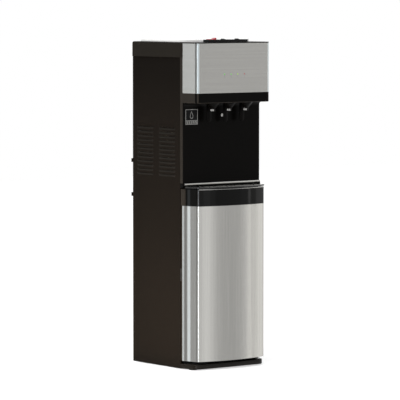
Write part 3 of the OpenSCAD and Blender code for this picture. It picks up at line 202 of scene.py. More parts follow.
# %% Outline functions
def front_half(w0, y0, w1, y1, fy, r, t=0.0, tf=None, corner=14, bow=26):
    """Right half of a plan, rear to middle: a side line, a corner arc of radius r, then the arc of the bow.

    The side runs from (w0, y0) to (w1, y1), and the bow from there to (0, fy); t and tf are their insets.
    """
    tf = t if tf is None else tf
    big = (w1**2 + (y1 - fy) ** 2) / (2 * (y1 - fy))
    length = math.hypot(w1 - w0, y1 - y0)
    dx, dy = (w1 - w0) / length, (y1 - y0) / length
    px = w0 + t / dy
    rr = max(r - max(t, tf), 1.0)
    qx, qy = px + dy * rr, y0 - dx * rr - (fy + big)
    qd = qx * dx + qy * dy
    s = -qd + math.sqrt(qd**2 - qx**2 - qy**2 + (big - tf - rr) ** 2)
    cx, cy = qx + s * dx, y0 - dx * rr + s * dy
    a = np.linspace(math.atan2(dx, -dy), math.atan2(cy - fy - big, cx), corner + 1)
    b = np.linspace(math.atan2(cy - fy - big, cx), -math.pi / 2, bow + 1)[1:]
    ease = np.array([0.0, 0.04, 0.09, 0.15, 0.21, 0.27, 0.33, 0.39, 0.45, 0.51, 0.57, 0.63, 0.8])
    side = np.array([px, y0]) + np.outer(np.r_[ease, 1 - 0.5 / s] * s, [dx, dy])
    return np.concatenate([side, np.c_[cx + rr * np.cos(a), cy + rr * np.sin(a)],
                           np.c_[(big - tf) * np.cos(b), fy + big + (big - tf) * np.sin(b)]])


def both_sides(half):
    """Left rear, round the front, to right rear: anticlockwise as seen from above."""
    return np.concatenate([half * [-1, 1], half[-2::-1]])


def round_box(x0, x1, y0, y1, r, steps=8):
    """A rectangle with quarter circles of radius r at its corners, anticlockwise."""
    a = np.linspace(0, math.pi / 2, steps + 1)
    quarter = r * np.c_[np.cos(a), np.sin(a)]
    turn = np.array([[0, -1], [1, 0]])
    centres = [(x1 - r, y1 - r), (x0 + r, y1 - r), (x0 + r, y0 + r), (x1 - r, y0 + r)]
    turned_by = [np.linalg.matrix_power(turn.T, k) for k in range(4)]
    return np.concatenate([np.array(c) + quarter @ m for c, m in zip(centres, turned_by)])


def circle(x, y, r, steps=32):
    """A circle in plan."""
    a = np.linspace(0, 2 * math.pi, steps, endpoint=False)
    return np.c_[x + r * np.cos(a), y + r * np.sin(a)]


def rim_up(r, z, inset=0.0, steps=6, support=0.4):
    """Section points of an upper edge of radius r below height z, with a supporting point on both flats."""
    a = np.linspace(0, math.pi / 2, steps + 1)
    arc = np.c_[inset + r * (1 - np.cos(a)), z - r + r * np.sin(a)]
    return [(inset, z - r - support), *arc.tolist(), (inset + r + support, z)]


def rim_down(r, z, inset=0.0, steps=6, support=0.4):
    """The same edge turned over: from the flat below, outwards and up, at height z."""
    return [(t, 2 * z - h) for t, h in reversed(rim_up(r, z, inset, steps, support))]


print("points round a box", len(round_box(0, 2, 0, 1, 0.2)), "and a circle", len(circle(0, 0, 1)))


# %% [markdown]
# ## From arrays to a piece
# Every piece becomes one mesh whose place is in its points, rides on the body that carries it and
# stands for the solids that it covers. Equal points are merged so that a closed form is really
# closed, and edges sharper than an angle stay crisp while the rest is shaded as one surface.


# %% Making a piece
def piece(name, parts, finishes, body, stands_for=(), sharp=40.0, sheet=False):
    """Joins parts of (points in mm, groups of faces, finish number) into one mesh on a body."""
    finishes = finishes if isinstance(finishes, (list, tuple)) else [finishes]
    parts = parts if isinstance(parts, list) else [parts]
    points, faces, marks, start = [], [], [], 0
    for part in parts:
        points.append(part[0])
        for group in part[1]:
            faces += (np.asarray(group) + start).tolist()
            marks += [part[2] if len(part) > 2 else 0] * len(group)
        start += len(part[0])
    mesh = bpy.data.meshes.new(name)
    mesh.from_pydata(np.concatenate(points) * MM, [], faces)
    mesh.polygons.foreach_set("material_index", marks)
    work = bmesh.new()
    work.from_mesh(mesh)
    bmesh.ops.remove_doubles(work, verts=work.verts, dist=2e-6)
    bmesh.ops.dissolve_degenerate(work, edges=work.edges, dist=1e-7)
    if not sheet:
        bmesh.ops.recalc_face_normals(work, faces=work.faces)
    open_edges = sum(1 for e in work.edges if not e.is_manifold)
    work.to_mesh(mesh)
    work.free()
    mesh.shade_smooth()
    mesh.set_sharp_from_angle(angle=math.radians(sharp))
    for finish in finishes:
        mesh.materials.append(finish)
    made = bpy.data.objects.new(name, mesh)
    bpy.context.scene.collection.objects.link(made)
    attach(made, body)
    if stands_for:
        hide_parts(*([stands_for] if isinstance(stands_for, str) else stands_for))
    print(name, "faces", len(mesh.polygons), "open edges", open_edges)
    return made


# %% [markdown]
# ## Colours and nodes
# Colours are written as the eye reads them, in sRGB hex, and one function turns them to the linear
# values that the shader wants. One more function adds a node with its settings and its links.


# %% Colour and node helpers
def linear(code):
    """An sRGB hex code as a linear colour: each channel is taken through the sRGB curve."""
    c = np.array([int(code[i : i + 2], 16) for i in (1, 3, 5)]) / 255
    return (*np.where(c <= 0.04045, c / 12.92, ((c + 0.055) / 1.055) ** 2.4), 1.0)


def add(tree, kind, settings=None, **inputs):
    """Adds a node; settings are its properties, and each input is a value or (node, output)."""
    made = tree.nodes.new(kind)
    for key, value in (settings or {}).items():
        setattr(made, key, value)
    for key, value in inputs.items():
        numbered = key[0] == "i" and key[1:].isdigit()
        socket = made.inputs[int(key[1:]) if numbered else key.replace("_", " ")]
        if isinstance(value, tuple) and isinstance(value[0], bpy.types.Node):
            tree.links.new(value[0].outputs[value[1]], socket)
        else:
            socket.default_value = value
    return made


def finish(name, code, roughness, metallic=0.0, **constants):
    """A material with one surface shader; constants are set on the shader's own sockets."""
    made = bpy.data.materials.new(name)
    made.use_nodes = True
    tree = made.node_tree
    shader = tree.nodes["Principled BSDF"]
    shader.inputs["Base Color"].default_value = linear(code)
    shader.inputs["Roughness"].default_value = roughness
    shader.inputs["Metallic"].default_value = metallic
    for key, value in constants.items():
        shader.inputs[key.replace("_", " ")].default_value = value
    made.diffuse_color = linear(code)
    return made, tree, shader


def texture_space(tree, per_mm):
    """Object coordinates, scaled by grains per mm along X, Y, Z, so that one unit of pattern is one grain."""
    place = add(tree, "ShaderNodeTexCoord")
    return add(tree, "ShaderNodeMapping", Vector=(place, "Object"), Scale=tuple(1000.0 * p for p in per_mm))


def grain(tree, shader, size_mm, height_mm, detail, stretch):
    """Small relief from noise: grains size_mm across, height_mm deep, drawn out by stretch along X, Y, Z."""
    space = texture_space(tree, [1 / (size_mm * s) for s in stretch])
    noise = add(tree, "ShaderNodeTexNoise", Vector=(space, "Vector"), Scale=1.0, Detail=detail)
    relief = add(tree, "ShaderNodeBump", Height=(noise, "Fac"), Distance=height_mm * MM, Strength=1.0)
    tree.links.new(relief.outputs["Normal"], shader.inputs["Normal"])
    return noise


def shade_between(tree, shader, fac, low, high, socket="Base Color"):
    """Lets a pattern move a colour, or a number, between two values that are both given."""
    if isinstance(low, str):
        ramp = add(tree, "ShaderNodeValToRGB", Fac=fac)
        ramp.color_ramp.elements[0].position, ramp.color_ramp.elements[1].position = 0.3, 0.7
        ramp.color_ramp.elements[0].color, ramp.color_ramp.elements[1].color = linear(low), linear(high)
        tree.links.new(ramp.outputs["Color"], shader.inputs[socket])
        return ramp
    scaled = add(tree, "ShaderNodeMapRange", Value=fac, i1=0.3, i2=0.7, i3=low, i4=high)
    tree.links.new(scaled.outputs["Result"], shader.inputs[socket])
    return scaled


def patterned(name, code, roughness, size_mm, height_mm, low, high,
              metallic=0.0, detail=2.0, stretch=(1, 1, 1), **constants):
    """A finish whose one noise raises the relief and moves the colour (hex codes) or the gloss (numbers)."""
    made, tree, shader = finish(name, code, roughness, metallic, **constants)
    noise = grain(tree, shader, size_mm, height_mm, detail, stretch)
    socket = "Base Color" if isinstance(low, str) else "Roughness"
    shade_between(tree, shader, (noise, "Fac"), low, high, socket)
    return made


print("black is", [round(v, 4) for v in linear("#141311")])

# %% [markdown]
# ## Painted and moulded blacks
# The cabinet sides are sheet steel under baked powder paint: the paint melts and keeps a faint
# orange peel, so it looks softer than plastic. The head, niche, base and door band are moulded
# ABS, which copies a finely etched mould and has a satin gloss.

# %% Black finishes
# Powder paint on steel: orange peel of about 2 mm, a hundredth of a millimetre high, barely warm.
powder_paint = patterned("powder_painted_steel", "#15100b", 0.44, 2.2, 0.012, "#140f0a", "#17120d",
                         Specular_IOR_Level=0.045)
# The louvres lean up towards the light from above; this lighter copy of the same paint is painted light on
# them.
louvre_lit_paint = patterned("powder_paint_with_painted_light_on_louvres", "#272420", 0.5, 3.0, 0.01, "#24211d", "#2a2723",
                        Specular_IOR_Level=0.04)
# Satin ABS: etched mould grain of just under a millimetre; the gloss varies a little with it.
satin_abs = patterned("satin_moulded_abs", "#070605", 0.26, 0.8, 0.006, 0.22, 0.3, Specular_IOR_Level=0.05)
# Cover ABS: a coarser, duller grain than the head's, one step lighter.
grained_abs = patterned("grained_cover_abs", "#201c17", 0.5, 1.6, 0.03, "#1e1a15", "#221e18",
                        Specular_IOR_Level=0.07)
# Polished ABS: the tray comes from a polished mould, with flow marks only.
gloss_abs = patterned("polished_moulded_abs", "#0e0d0c", 0.12, 14.0, 0.05, 0.09, 0.16, detail=1.0,
                      Specular_IOR_Level=0.5)
# Band ABS: the door's band is polished as well, and blacker, so that it mirrors the studio.
band_abs = patterned("polished_band_abs", "#040403", 0.07, 18.0, 0.04, 0.05, 0.09, detail=1.0,
                     Specular_IOR_Level=0.14)
# Side-lit ABS: a paler, duller copy of the satin ABS for the sides and some corners of the head, the niche and
# the door band: painted light where the light from the side falls on them.
side_lit_abs = patterned("moulded_abs_with_painted_side_light", "#231e18", 0.42, 1.1, 0.012, "#211c16", "#25201a",
                       Specular_IOR_Level=0.16)
# Base ABS: a smoother mould than the sides', scuffed to a middling gloss near the floor.
base_abs = patterned("scuffed_base_abs", "#120f0b", 0.24, 2.4, 0.01, "#100d09", "#15110d",
                     Specular_IOR_Level=0.16)
# Rubber: matt, slightly grey where it wears.
rubber = patterned("moulded_rubber", "#1b1b1a", 0.75, 1.2, 0.04, "#181817", "#22211f", Specular_IOR_Level=0.3)
# Black enamel of condenser and compressor: dipped, glossy, with slow runs.
enamel = patterned("black_dip_enamel", "#161617", 0.32, 5.0, 0.05, 0.26, 0.42, detail=1.0)
print("materials so far", len(bpy.data.materials))

# %% [markdown]
# ## Brushed stainless steel
# An abrasive belt leaves fine parallel scratches. They run up the door and across the head, so the
# same pattern is drawn out along Z for one and along X and Y for the other. Real scratches are a
# tenth of a millimetre wide; here the widest are a few millimetres, so that they show at this size.


# %% Steel finishes
def brushed(name, code, roughness, along, low, high, scratch_mm=0.5, band_mm=3.5):
    """Noise drawn out a hundredfold or more along the brushing moves colour, gloss and a very low relief."""
    made, tree, shader = finish(name, code, roughness, metallic=1.0)
    long = [1 / 160.0 if along[k] else 1 / scratch_mm for k in range(3)]
    wide = [1 / 420.0 if along[k] else 1 / band_mm for k in range(3)]
    fine = add(tree, "ShaderNodeTexNoise", Vector=(texture_space(tree, long), "Vector"), Scale=1.0, Detail=3.0)
    bands = add(tree, "ShaderNodeTexNoise", Vector=(texture_space(tree, wide), "Vector"), Scale=1.0, Detail=2.0)
    both = add(tree, "ShaderNodeMix", {"data_type": "FLOAT"}, Factor=0.5, A=(fine, "Fac"), B=(bands, "Fac"))
    shade_between(tree, shader, (both, "Result"), low, high)
    shade_between(tree, shader, (fine, "Fac"), roughness - 0.03, roughness + 0.05, "Roughness")
    relief = add(tree, "ShaderNodeBump", Height=(fine, "Fac"), Distance=0.004 * MM, Strength=0.6)
    tree.links.new(relief.outputs["Normal"], shader.inputs["Normal"])
    return made


steel_door = brushed("vertically_brushed_stainless", "#b4b3af", 0.2, (0, 0, 1), "#aeada9", "#bab9b5")
steel_head = brushed("horizontally_brushed_stainless", "#b8b7b3", 0.22, (1, 1, 0), "#b3b2ae", "#bdbcb8")
steel_grille = brushed("satin_stainless_sheet", "#c4c3bf", 0.13, (1, 0, 0), "#bcbbb7", "#cccbc7")

# The front arcs of the head's corners take a brighter, bluish copy of the steel, rougher so that it spreads
# evenly: a painted highlight.
corner_highlight_steel = patterned("stainless_with_painted_corner_highlight", "#c3cbcd", 0.42, 1.0, 0.003, "#bec6c8", "#c8d0d2",
                         metallic=1.0, stretch=(1, 1, 90))

# Plain steel of pins, screws and tanks: drawn or turned, with a light mottling of mill scale.
plain_steel = patterned("drawn_steel", "#aaa9a5", 0.34, 6.0, 0.01, "#9c9b97", "#b2b1ad", metallic=1.0)

# Galvanised sheet: zinc freezes in spangles about 12 mm across, each a slightly different grey.
galvanised, tree, shader = finish("galvanised_sheet", "#94969a", 0.42, metallic=0.85)
cells = add(tree, "ShaderNodeTexVoronoi", Vector=(texture_space(tree, [1 / 12.0] * 3), "Vector"), Scale=1.0)
shade_between(tree, shader, (cells, "Distance"), "#85878b", "#a2a4a7")
shade_between(tree, shader, (cells, "Distance"), 0.36, 0.5, "Roughness")

# Copper line: drawn tube, dulled to brown in patches.
copper = patterned("drawn_copper_tube", "#b0683f", 0.3, 9.0, 0.01, "#8d5233", "#bd7549", metallic=1.0)

# The rear half of each bend on the head is darker and duller than the flat, as in the photo.
# This darker copy of the steel is painted shade, for the darker reflection in the bend.
bend_shade_steel = brushed("brushed_stainless_with_painted_bend_shade", "#8a8986", 0.3, (1, 1, 0), "#858481", "#8f8e8b")
print("materials so far", len(bpy.data.materials))

# %% [markdown]
# ## Colours that are moulded in
# The small parts take their colour from the pigment in the plastic, so it goes right through and
# only the gloss changes with wear. The lamps' lenses are clear plastic tinted green or red, and
# they glow a little because the lamps behind them are on.

# %% Coloured finishes
white_plastic = patterned("moulded_white_acetal", "#dfdeda", 0.38, 1.5, 0.01, "#d8d7d2", "#e6e5e1")

# The lid is a glossier, purer white, which the studio light all but bleaches. A faint glow on
# it is painted light that makes it brighter still.
lid_white_glow = patterned("glossy_white_abs_with_painted_glow", "#f3f3f1", 0.22, 12.0, 0.03, "#efefed", "#f7f7f5", detail=1.0,
                      Emission_Color=linear("#ffffff"), Emission_Strength=0.24)
red_plastic = patterned("moulded_red_polycarbonate", "#a60e28", 0.24, 8.0, 0.02, "#b80f2b", "#cf1636",
                        detail=1.0)
switch_black = patterned("moulded_black_polycarbonate", "#090909", 0.26, 1.0, 0.008, 0.22, 0.32,
                         Specular_IOR_Level=0.2)


def lens_finish(name, code, low, high, glow):
    """Tinted clear plastic, lit from behind: the colour is uneven because the lamp is small."""
    return patterned(name, code, 0.2, 1.4, 0.02, low, high, Emission_Strength=glow, Emission_Color=linear(code))


green_lens = lens_finish("green_tinted_lens", "#45b52a", "#3aa820", "#55c035", 0.4)
lime_lens = lens_finish("lime_tinted_lens", "#86b82a", "#7aac22", "#96c438", 0.36)
red_lens = lens_finish("red_tinted_lens", "#a31a26", "#931520", "#b0222e", 0.12)

# Printed ink is matt and a little uneven, because the plastic below it is not quite flat.
silver_ink = patterned("printed_silver_ink", "#8c8b88", 0.5, 0.9, 0.004, "#7e7d7a", "#989794")
grey_ink = patterned("printed_grey_ink", "#7b7b80", 0.6, 0.9, 0.004, "#717176", "#85858a")
film_black = patterned("black_label_film", "#050505", 0.4, 1.1, 0.004, 0.35, 0.46, Specular_IOR_Level=0.12)

board_green = patterned("solder_masked_board", "#1d4a2c", 0.4, 1.6, 0.02, "#194328", "#235534")
foam_cream = patterned("expanded_polyurethane_foam", "#d8cfb4", 0.85, 3.0, 0.4, "#cbc1a4", "#e2dac2")
print("materials so far", len(bpy.data.materials))

# %% [markdown]
# ## The side panels
# Each side is one sheet of steel, bent at its front and rear edges. The louvres are pressed in the
# same stroke that slits them: the sheet below each slit is pushed inwards and leaves an opening at
# its upper edge. A height field does this in one go: a smooth depth for every point of the sheet,
# with the quads left out where the slit is. Solidify then gives the sheet its millimetre.

# %% Side panels
LOUVRE_TOP, LOUVRE_PITCH, LOUVRES = 768.0, 13.5, 12
LOUVRE_BLADE, LOUVRE_SLIT, LOUVRE_WIDE, LOUVRE_IN = 7.65, 0.35, 90.0, 3.4
LOUVRE_COLUMNS = (-61.0, 56.0)
FLANGE_X = 143.0


def side_sheet():
    """Path round the left panel in plan (flange, bend, side, bend, flange) against height.

    Inside a louvre the depth grows with height and eases off at both ends.
    """
    bend, a = 2.0, np.linspace(0, math.pi / 2, 6)
    ease = np.array([0, 1.0, 2.2, 3.8, 5.8, 8.0])
    lines = np.concatenate([[-83.5, -70], *[np.r_[y + ease, y + 30, y + 60, y + LOUVRE_WIDE - ease[::-1]]
                                            for y in LOUVRE_COLUMNS], [160, 167.5]])[::-1]
    rear = np.c_[-HALF_W + bend - bend * np.sin(a), REAR_Y - bend + bend * np.cos(a)]
    front = np.c_[-HALF_W + bend - bend * np.cos(a), FRONT_Y + bend - bend * np.sin(a)]
    side = np.c_[np.full(len(lines), -HALF_W), lines]
    path = np.concatenate([[[-FLANGE_X, REAR_Y], [-152.5, REAR_Y]], rear, side, front,
                           [[-152.5, FRONT_Y], [-FLANGE_X, FRONT_Y]]])
    share = np.array([0, 0.05, 0.15, 0.35, 0.6, 0.85, 1.0])
    lows = LOUVRE_TOP - LOUVRE_BLADE - LOUVRE_SLIT - LOUVRE_PITCH * np.arange(LOUVRES)[::-1]
    blades = [np.r_[low + share * LOUVRE_BLADE, low + LOUVRE_BLADE + LOUVRE_SLIT] for low in lows]
    z = np.concatenate([[BASE_Z, 60.0, 560.0], *blades, [800.0, SKIRT_Z]])
    press = np.concatenate([np.zeros(3), np.tile(np.r_[share**1.3, 0], LOUVRES), np.zeros(2)])
    slit = np.concatenate([np.zeros(3), np.tile(np.r_[np.zeros(6), 1, 0], LOUVRES), np.zeros(2)])[:-1] > 0
    y = path[:, 1]
    ends = np.zeros(len(path))
    for start in LOUVRE_COLUMNS:
        s = np.clip(np.minimum(y - start, start + LOUVRE_WIDE - y) / 8.0, 0, 1)
        ends = np.maximum(ends, s * s * (3 - 2 * s))
    ends[np.abs(path[:, 0]) < HALF_W - 0.01] = 0
    shape = (len(z), len(y))
    points = np.stack([path[None, :, 0] + LOUVRE_IN * press[:, None] * ends,
                       np.broadcast_to(y, shape), np.broadcast_to(z[:, None], shape)], -1)
    keep = ~(slit[:, None] & ((ends[:-1] + ends[1:]) / 2 > 0.85))
    return grid(points, keep=keep)


def give_thickness(made, mm):
    """A sheet's real thickness, laid inwards from the drawn face."""
    wall = made.modifiers.new("sheet_thickness", "SOLIDIFY")
    wall.thickness, wall.offset = mm * MM, -1
    return made


def louvre_band(middles):
    """The faces pressed in at the louvres, which take the lighter copy of the paint: painted light."""
    return (np.abs(middles[:, 0]) < HALF_W - 0.3) & (middles[:, 1] > -80) & (middles[:, 1] < 160)


left_side = side_sheet()
for where, sheet in (("left", left_side), ("right", mirrored(left_side))):
    # The pressed louvres take the lighter paint: painted light where they lean up to the light.
    panel = piece(f"side_{where}", split_off(sheet, louvre_band, 1), [powder_paint, louvre_lit_paint],
                  "cabinet", f"side_panel_{where}", sheet=True)
    give_thickness(panel, 1.0)

# %% [markdown]
# ## The base
# The base is a shallow black tray turned upside down. It carries the cabinet on four rubber feet
# and reaches forward under the door, where its rounded front shows as a dark step. Its section is
# carried round the plan, and ribs stiffen it from below.


# %% Base plinth
BASE_HALF, BASE_CORNER_Y, BASE_FRONT, BASE_ROUND = 134.0, -146.0, -149.0, 24.0


def base_path(t):
    """The base's plan inset by t: the bowed front, then straight back between the side panels."""
    front = both_sides(front_half(HALF_W, FRONT_Y, BASE_HALF, BASE_CORNER_Y, BASE_FRONT, BASE_ROUND, t))
    w, y1, y2 = 154.0 - t, FRONT_Y + 0.6, 164.0 - t
    return np.concatenate([[[-w, y2], [-w, 160 - t], [-w, y1 + 1], [-w, y1]], front,
                           [[w, y1], [w, y1 + 1], [w, 160 - t], [w, y2]]])


def slab(x0, x1, y0, y1, z0, z1, r=0.6):
    """A moulded bar with rounded upright edges and softened ends."""
    box = lambda t: round_box(x0 + t, x1 - t, y0 + t, y1 - t, max(r - t, 0.1), 3)
    return solid(box, [(r / 2, z0), (0, z0 + r / 2), (0, z1 - r / 2), (r / 2, z1)])


base_section = [(3.0, 17.0), (3.0, 4.6), (2.6, BASE_Z), (0.5, BASE_Z), (0, 4.6), *rim_up(3.0, BASE_TOP)]
ribs = [p for x in (-77.5, 0.0, 77.5) for p in slab(x - 1.2, x + 1.2, -144, 162, BASE_Z, 17.5, 0.5)]
boss_section = [(0.4, BASE_Z), (0, 4.6), (0, 17.2), (0.3, 17.4)]
bosses = [p for x, y in FEET for p in solid(lambda t, x=x, y=y: circle(x, y, 9 - t), boss_section)]
piece("base_moulding", solid(base_path, base_section) + ribs + bosses, base_abs,
      "cabinet", "base_plinth")


def foot(x, y):
    """A rubber pad: a flat tread with a rounded edge, narrowing to the neck that is pressed into the base."""
    tread = [(0, 0), (11.5, 0), (13.2, 0.5), (14, 1.6), (14, 2.8), (13.2, 3.7), (11.5, 4)]
    return turned([*tread, (4, 4), (4, 16.5), (0, 17)], (x, y))


piece("rubber_feet", [foot(x, y) for x, y in FEET], rubber, "cabinet", "feet")

# %% [markdown]
# ## The top cover and the lid
# A black cap with well-rounded edges closes the cabinet from above, and stands just proud of the
# steel so that the sheet slips in under its skirt. A pale lid drops into the opening over the
# tanks. Both are sections carried round a rectangle with round corners.


# %% Top cover and lid
COVER_HALF, COVER_REAR = 155.6, 173.6


def cover_path(side, front):
    """The cover's plan inset by side at its sides and rear, and by front where it meets the head."""
    half, y, steps = COVER_HALF - side, NICHE_Y + front, 9
    box = round_box(-half, half, y, COVER_REAR - side, max(5.0 - side, 0.6), 8)
    low = box[:, 1] < 0
    box[low] = np.where(np.arange(len(box))[low, None] < 3 * steps, [[-half, y]], [[half, y]])
    box[low, 1] += np.concatenate([np.linspace(0.9, 0, steps), np.linspace(0, 0.9, steps)])
    return box


# The opening over the tanks.
WELL = round_box(-127, 127, -62, 144, 22, 8)


def cover_shell():
    """Skirt, rounded shoulder, flat top, the well's edge and the inside of the cap, all in one closed ring."""
    shoulder = [(t, 0, z) for t, z in rim_up(6, TOP_Z)[1:-1]]
    outer = [(0.3, 0, SKIRT_Z), (0, 0, SKIRT_Z + 0.3), (0, 0, 1033.4), *shoulder, (7.5, 3, TOP_Z)]
    inner = [(2.6, 2.6, INNER_TOP), (2.6, 2.6, SKIRT_Z)]
    rings = [at_height(cover_path(a, b), z) for a, b, z in outer]
    rings += [at_height(WELL, TOP_Z), at_height(WELL, INNER_TOP)]
    rings += [at_height(cover_path(a, b), z) for a, b, z in inner]
    return grid(np.stack(rings), wrap_rows=True, wrap_cols=True)


piece("cover_cap", [cover_shell()], grained_abs, "cabinet", "top_cover")


def lid_path(t):
    """The lid's plan, inset by t: a rectangle with 30 mm corners."""
    return round_box(-143 + t, 143 - t, -78 + t, 160 - t, 30 - t * 0.5, 12)


plug = [(19.6, 1045), (19.6, 1035.3), (19.2, 1035), (17, 1035), (16.6, 1035.4), (16.6, 1040.3)]
lid = [*plug, (1, 1040.3), (0.2, 1040.7), (0, 1041.4), *rim_up(1.5, RAISED_TOP)]
piece("lid_plate", solid(lid_path, lid), lid_white_glow, "lid", "top_lid")

# %% [markdown]
# ## The control head
# One black moulding carries the whole head: the band under the steel, a thin lip over it, and the
# ceiling of the niche with its slots for the levers. The steel wrap lies in a recess so shallow
# that the two are flush. Outside and inside walls are carried round the same plan, and the flat
# ceiling and top are tessellated around their holes.


# %% Head moulding
def head_path(t):
    """The head's plan, inset by t: almost parallel sides, round corners and a nearly flat front."""
    return both_sides(front_half(HALF_W, NICHE_Y, HEAD_HALF, HEAD_Y + 0.02, HEAD_Y, HEAD_ROUND, t))


def lever_slot(x):
    """The slot in the ceiling that a lever swings in."""
    return round_box(x - 10, x + 10, -122, -115.6, 1.5)


# The opening in the top under the switch bezel.
BEZEL_HOLE = round_box(-75, 75, -130, -110, 2)


def head_shell():
    """Outer wall with the recess for the steel, inner wall 3 mm in, and flat faces round each hole."""
    recess = [(0, HEAD_SKIN_Z), (0.8, HEAD_SKIN_Z), (0.8, HEAD_SKIN_TOP), (0, HEAD_SKIN_TOP)]
    outer = rim_down(3.0, HEAD_Z) + recess + rim_up(1.0, TOP_Z, steps=4, support=0.2)
    within = np.minimum(head_path(3.0), [HALF_W, NICHE_Y - 1])
    slots, inner_z = [lever_slot(x) for x in SPOUTS], HEAD_Z + 3
    parts = [wall_of(head_path, outer), plate(head_path(outer[0][0]), slots, outer[0][1]),
             plate(head_path(outer[-1][0]), [BEZEL_HOLE], TOP_Z), straight(within, INNER_TOP, inner_z),
             plate(within, [BEZEL_HOLE], INNER_TOP), plate(within, slots, inner_z),
             straight(BEZEL_HOLE, INNER_TOP, TOP_Z)]
    return parts + [straight(s, HEAD_Z, inner_z) for s in slots]


def lever_ears(x):
    """Two ears on the ceiling that hold a lever's pin, each rounded over the pin."""
    a = np.linspace(0, math.pi, 13)
    over_pin = np.c_[LEVER_Y + 5 * np.cos(a), LEVER_Z + 5 * np.sin(a)]
    side = np.concatenate([[[LEVER_Y + 5, HEAD_Z + 2.5]], over_pin, [[LEVER_Y - 5, HEAD_Z + 2.5]]])
    return [extruded(side, x + s * 11.5 - 1.5, x + s * 11.5 + 1.5) for s in (-1, 1)]


# The side strips take the paler side-lit ABS: painted light.
strip = np.array([[NICHE_Y, HEAD_Z], [FRONT_Y, HEAD_Z], [FRONT_Y, SKIRT_Z], [NICHE_Y, SKIRT_Z]])
strips = [extruded(strip, s * HALF_W, s * (HALF_W - 3)) for s in (-1, 1)]
shell = head_shell()
# The sides of the moulding and a narrow strip near the front of each corner take the same paler ABS: painted
# light.
outer = split_off(shell[0], lambda m: (m[:, 1] > -153.5) | ((m[:, 1] > -162.6) & (m[:, 1] < -159.2)), 1)
ears = [e for x in SPOUTS for e in lever_ears(x)]
piece("head_moulding", outer + shell[1:] + ears + [shown(p, 1) for p in strips],
      [satin_abs, side_lit_abs], "cabinet", "fascia_housing")

# %% [markdown]
# The steel wrap is one strip, bent round both corners and folded over a hair at its edges. It is a
# thin closed section carried along an open path, and its two ends are closed flat.


# %% Stainless wrap
def sheet_section(low, high, edge, part_in, part_up):
    """A sheet 0.75 mm deep between two heights; its face turns in at each edge by way of one point."""
    foot = [(edge, low), (part_in, low + part_up), (0, low + edge), (0, low + 2 * edge)]
    head = [(t, high - (z - low)) for t, z in reversed(foot)]
    return [*foot, *head, (0.75, high), (0.75, low)]


wrap = carried(head_path, sheet_section(HEAD_SKIN_Z + 0.1, HEAD_SKIN_TOP - 0.1, 0.25, 0.07, 0.08))
# The front arcs of the corners take the brighter steel, a painted highlight, and the rear half of each bend the
# darker steel, painted shade.
wrap = split_off(wrap, lambda m: (np.abs(m[:, 0]) > 136.4) & (m[:, 1] < -159.2), 1)
wrap = split_off(wrap[0], lambda m: (m[:, 1] > -159.2) & (m[:, 1] < -153.0), 2) + wrap[1:]
piece("head_wrap", wrap, [steel_head, corner_highlight_steel, bend_shade_steel], "cabinet", "fascia_skin",
      sharp=60)

# %% [markdown]
# Four lamps shine through the steel, three green ones and a red one. Each lens is a small dome in
# a drilled hole, with two plain dashes printed under it.


# %% Lamps
LAMP_Z, LENS_R = 939.0, 2.0
LAMPS = (-37.25, -10.75, 15.75, 42.25)


def lens(x):
    """A dome of 2 mm radius that stands four tenths of a millimetre out of the steel."""
    a = np.linspace(0, math.pi / 2, 7)
    dome = np.c_[LENS_R * np.cos(a), HEAD_Y + 0.1 - 0.5 * np.sin(a)]
    return turned_y([(0, HEAD_Y + 4), (LENS_R, HEAD_Y + 4), *dome.tolist()], x, LAMP_Z, 24)


def key(x0, x1, z0, z1, r, section, steps=3):
    """A rounded rectangle that faces the front, inset by each t of its section of (t, Y) pairs."""
    return standing(solid(lambda t: round_box(x0 + t, x1 - t, z0 + t, z1 - t, r - t, steps), section))


def tick(x, z, wide, high):
    """A printed dash three hundredths of a millimetre proud of the steel."""
    section = [(0, HEAD_Y - 0.03), (0, HEAD_Y + 0.3)]
    return key(x - wide / 2, x + wide / 2, z - high / 2, z + high / 2, 0.4, section)


signs = [shown(p, 2) for x in LAMPS for p in tick(x, LAMP_Z - 7.4, 3.4, 1.3) + tick(x, LAMP_Z - 9.8, 2.0, 0.9)]
piece("status_lamps", [shown(lens(x), k // 2) for k, x in enumerate(LAMPS[:3])] + signs,
      [green_lens, lime_lens, grey_ink], "cabinet", "status_lenses")
piece("warning_lamp", lens(LAMPS[3]), red_lens, "cabinet", "heat_lens")

# %% [markdown]
# ## The niche
# The black wall behind the spouts is a moulding with rounded upright edges. Under the head it runs
# forward in a hollow, so that a wet wall has no corner to clean. A slot lets the child lock slide.


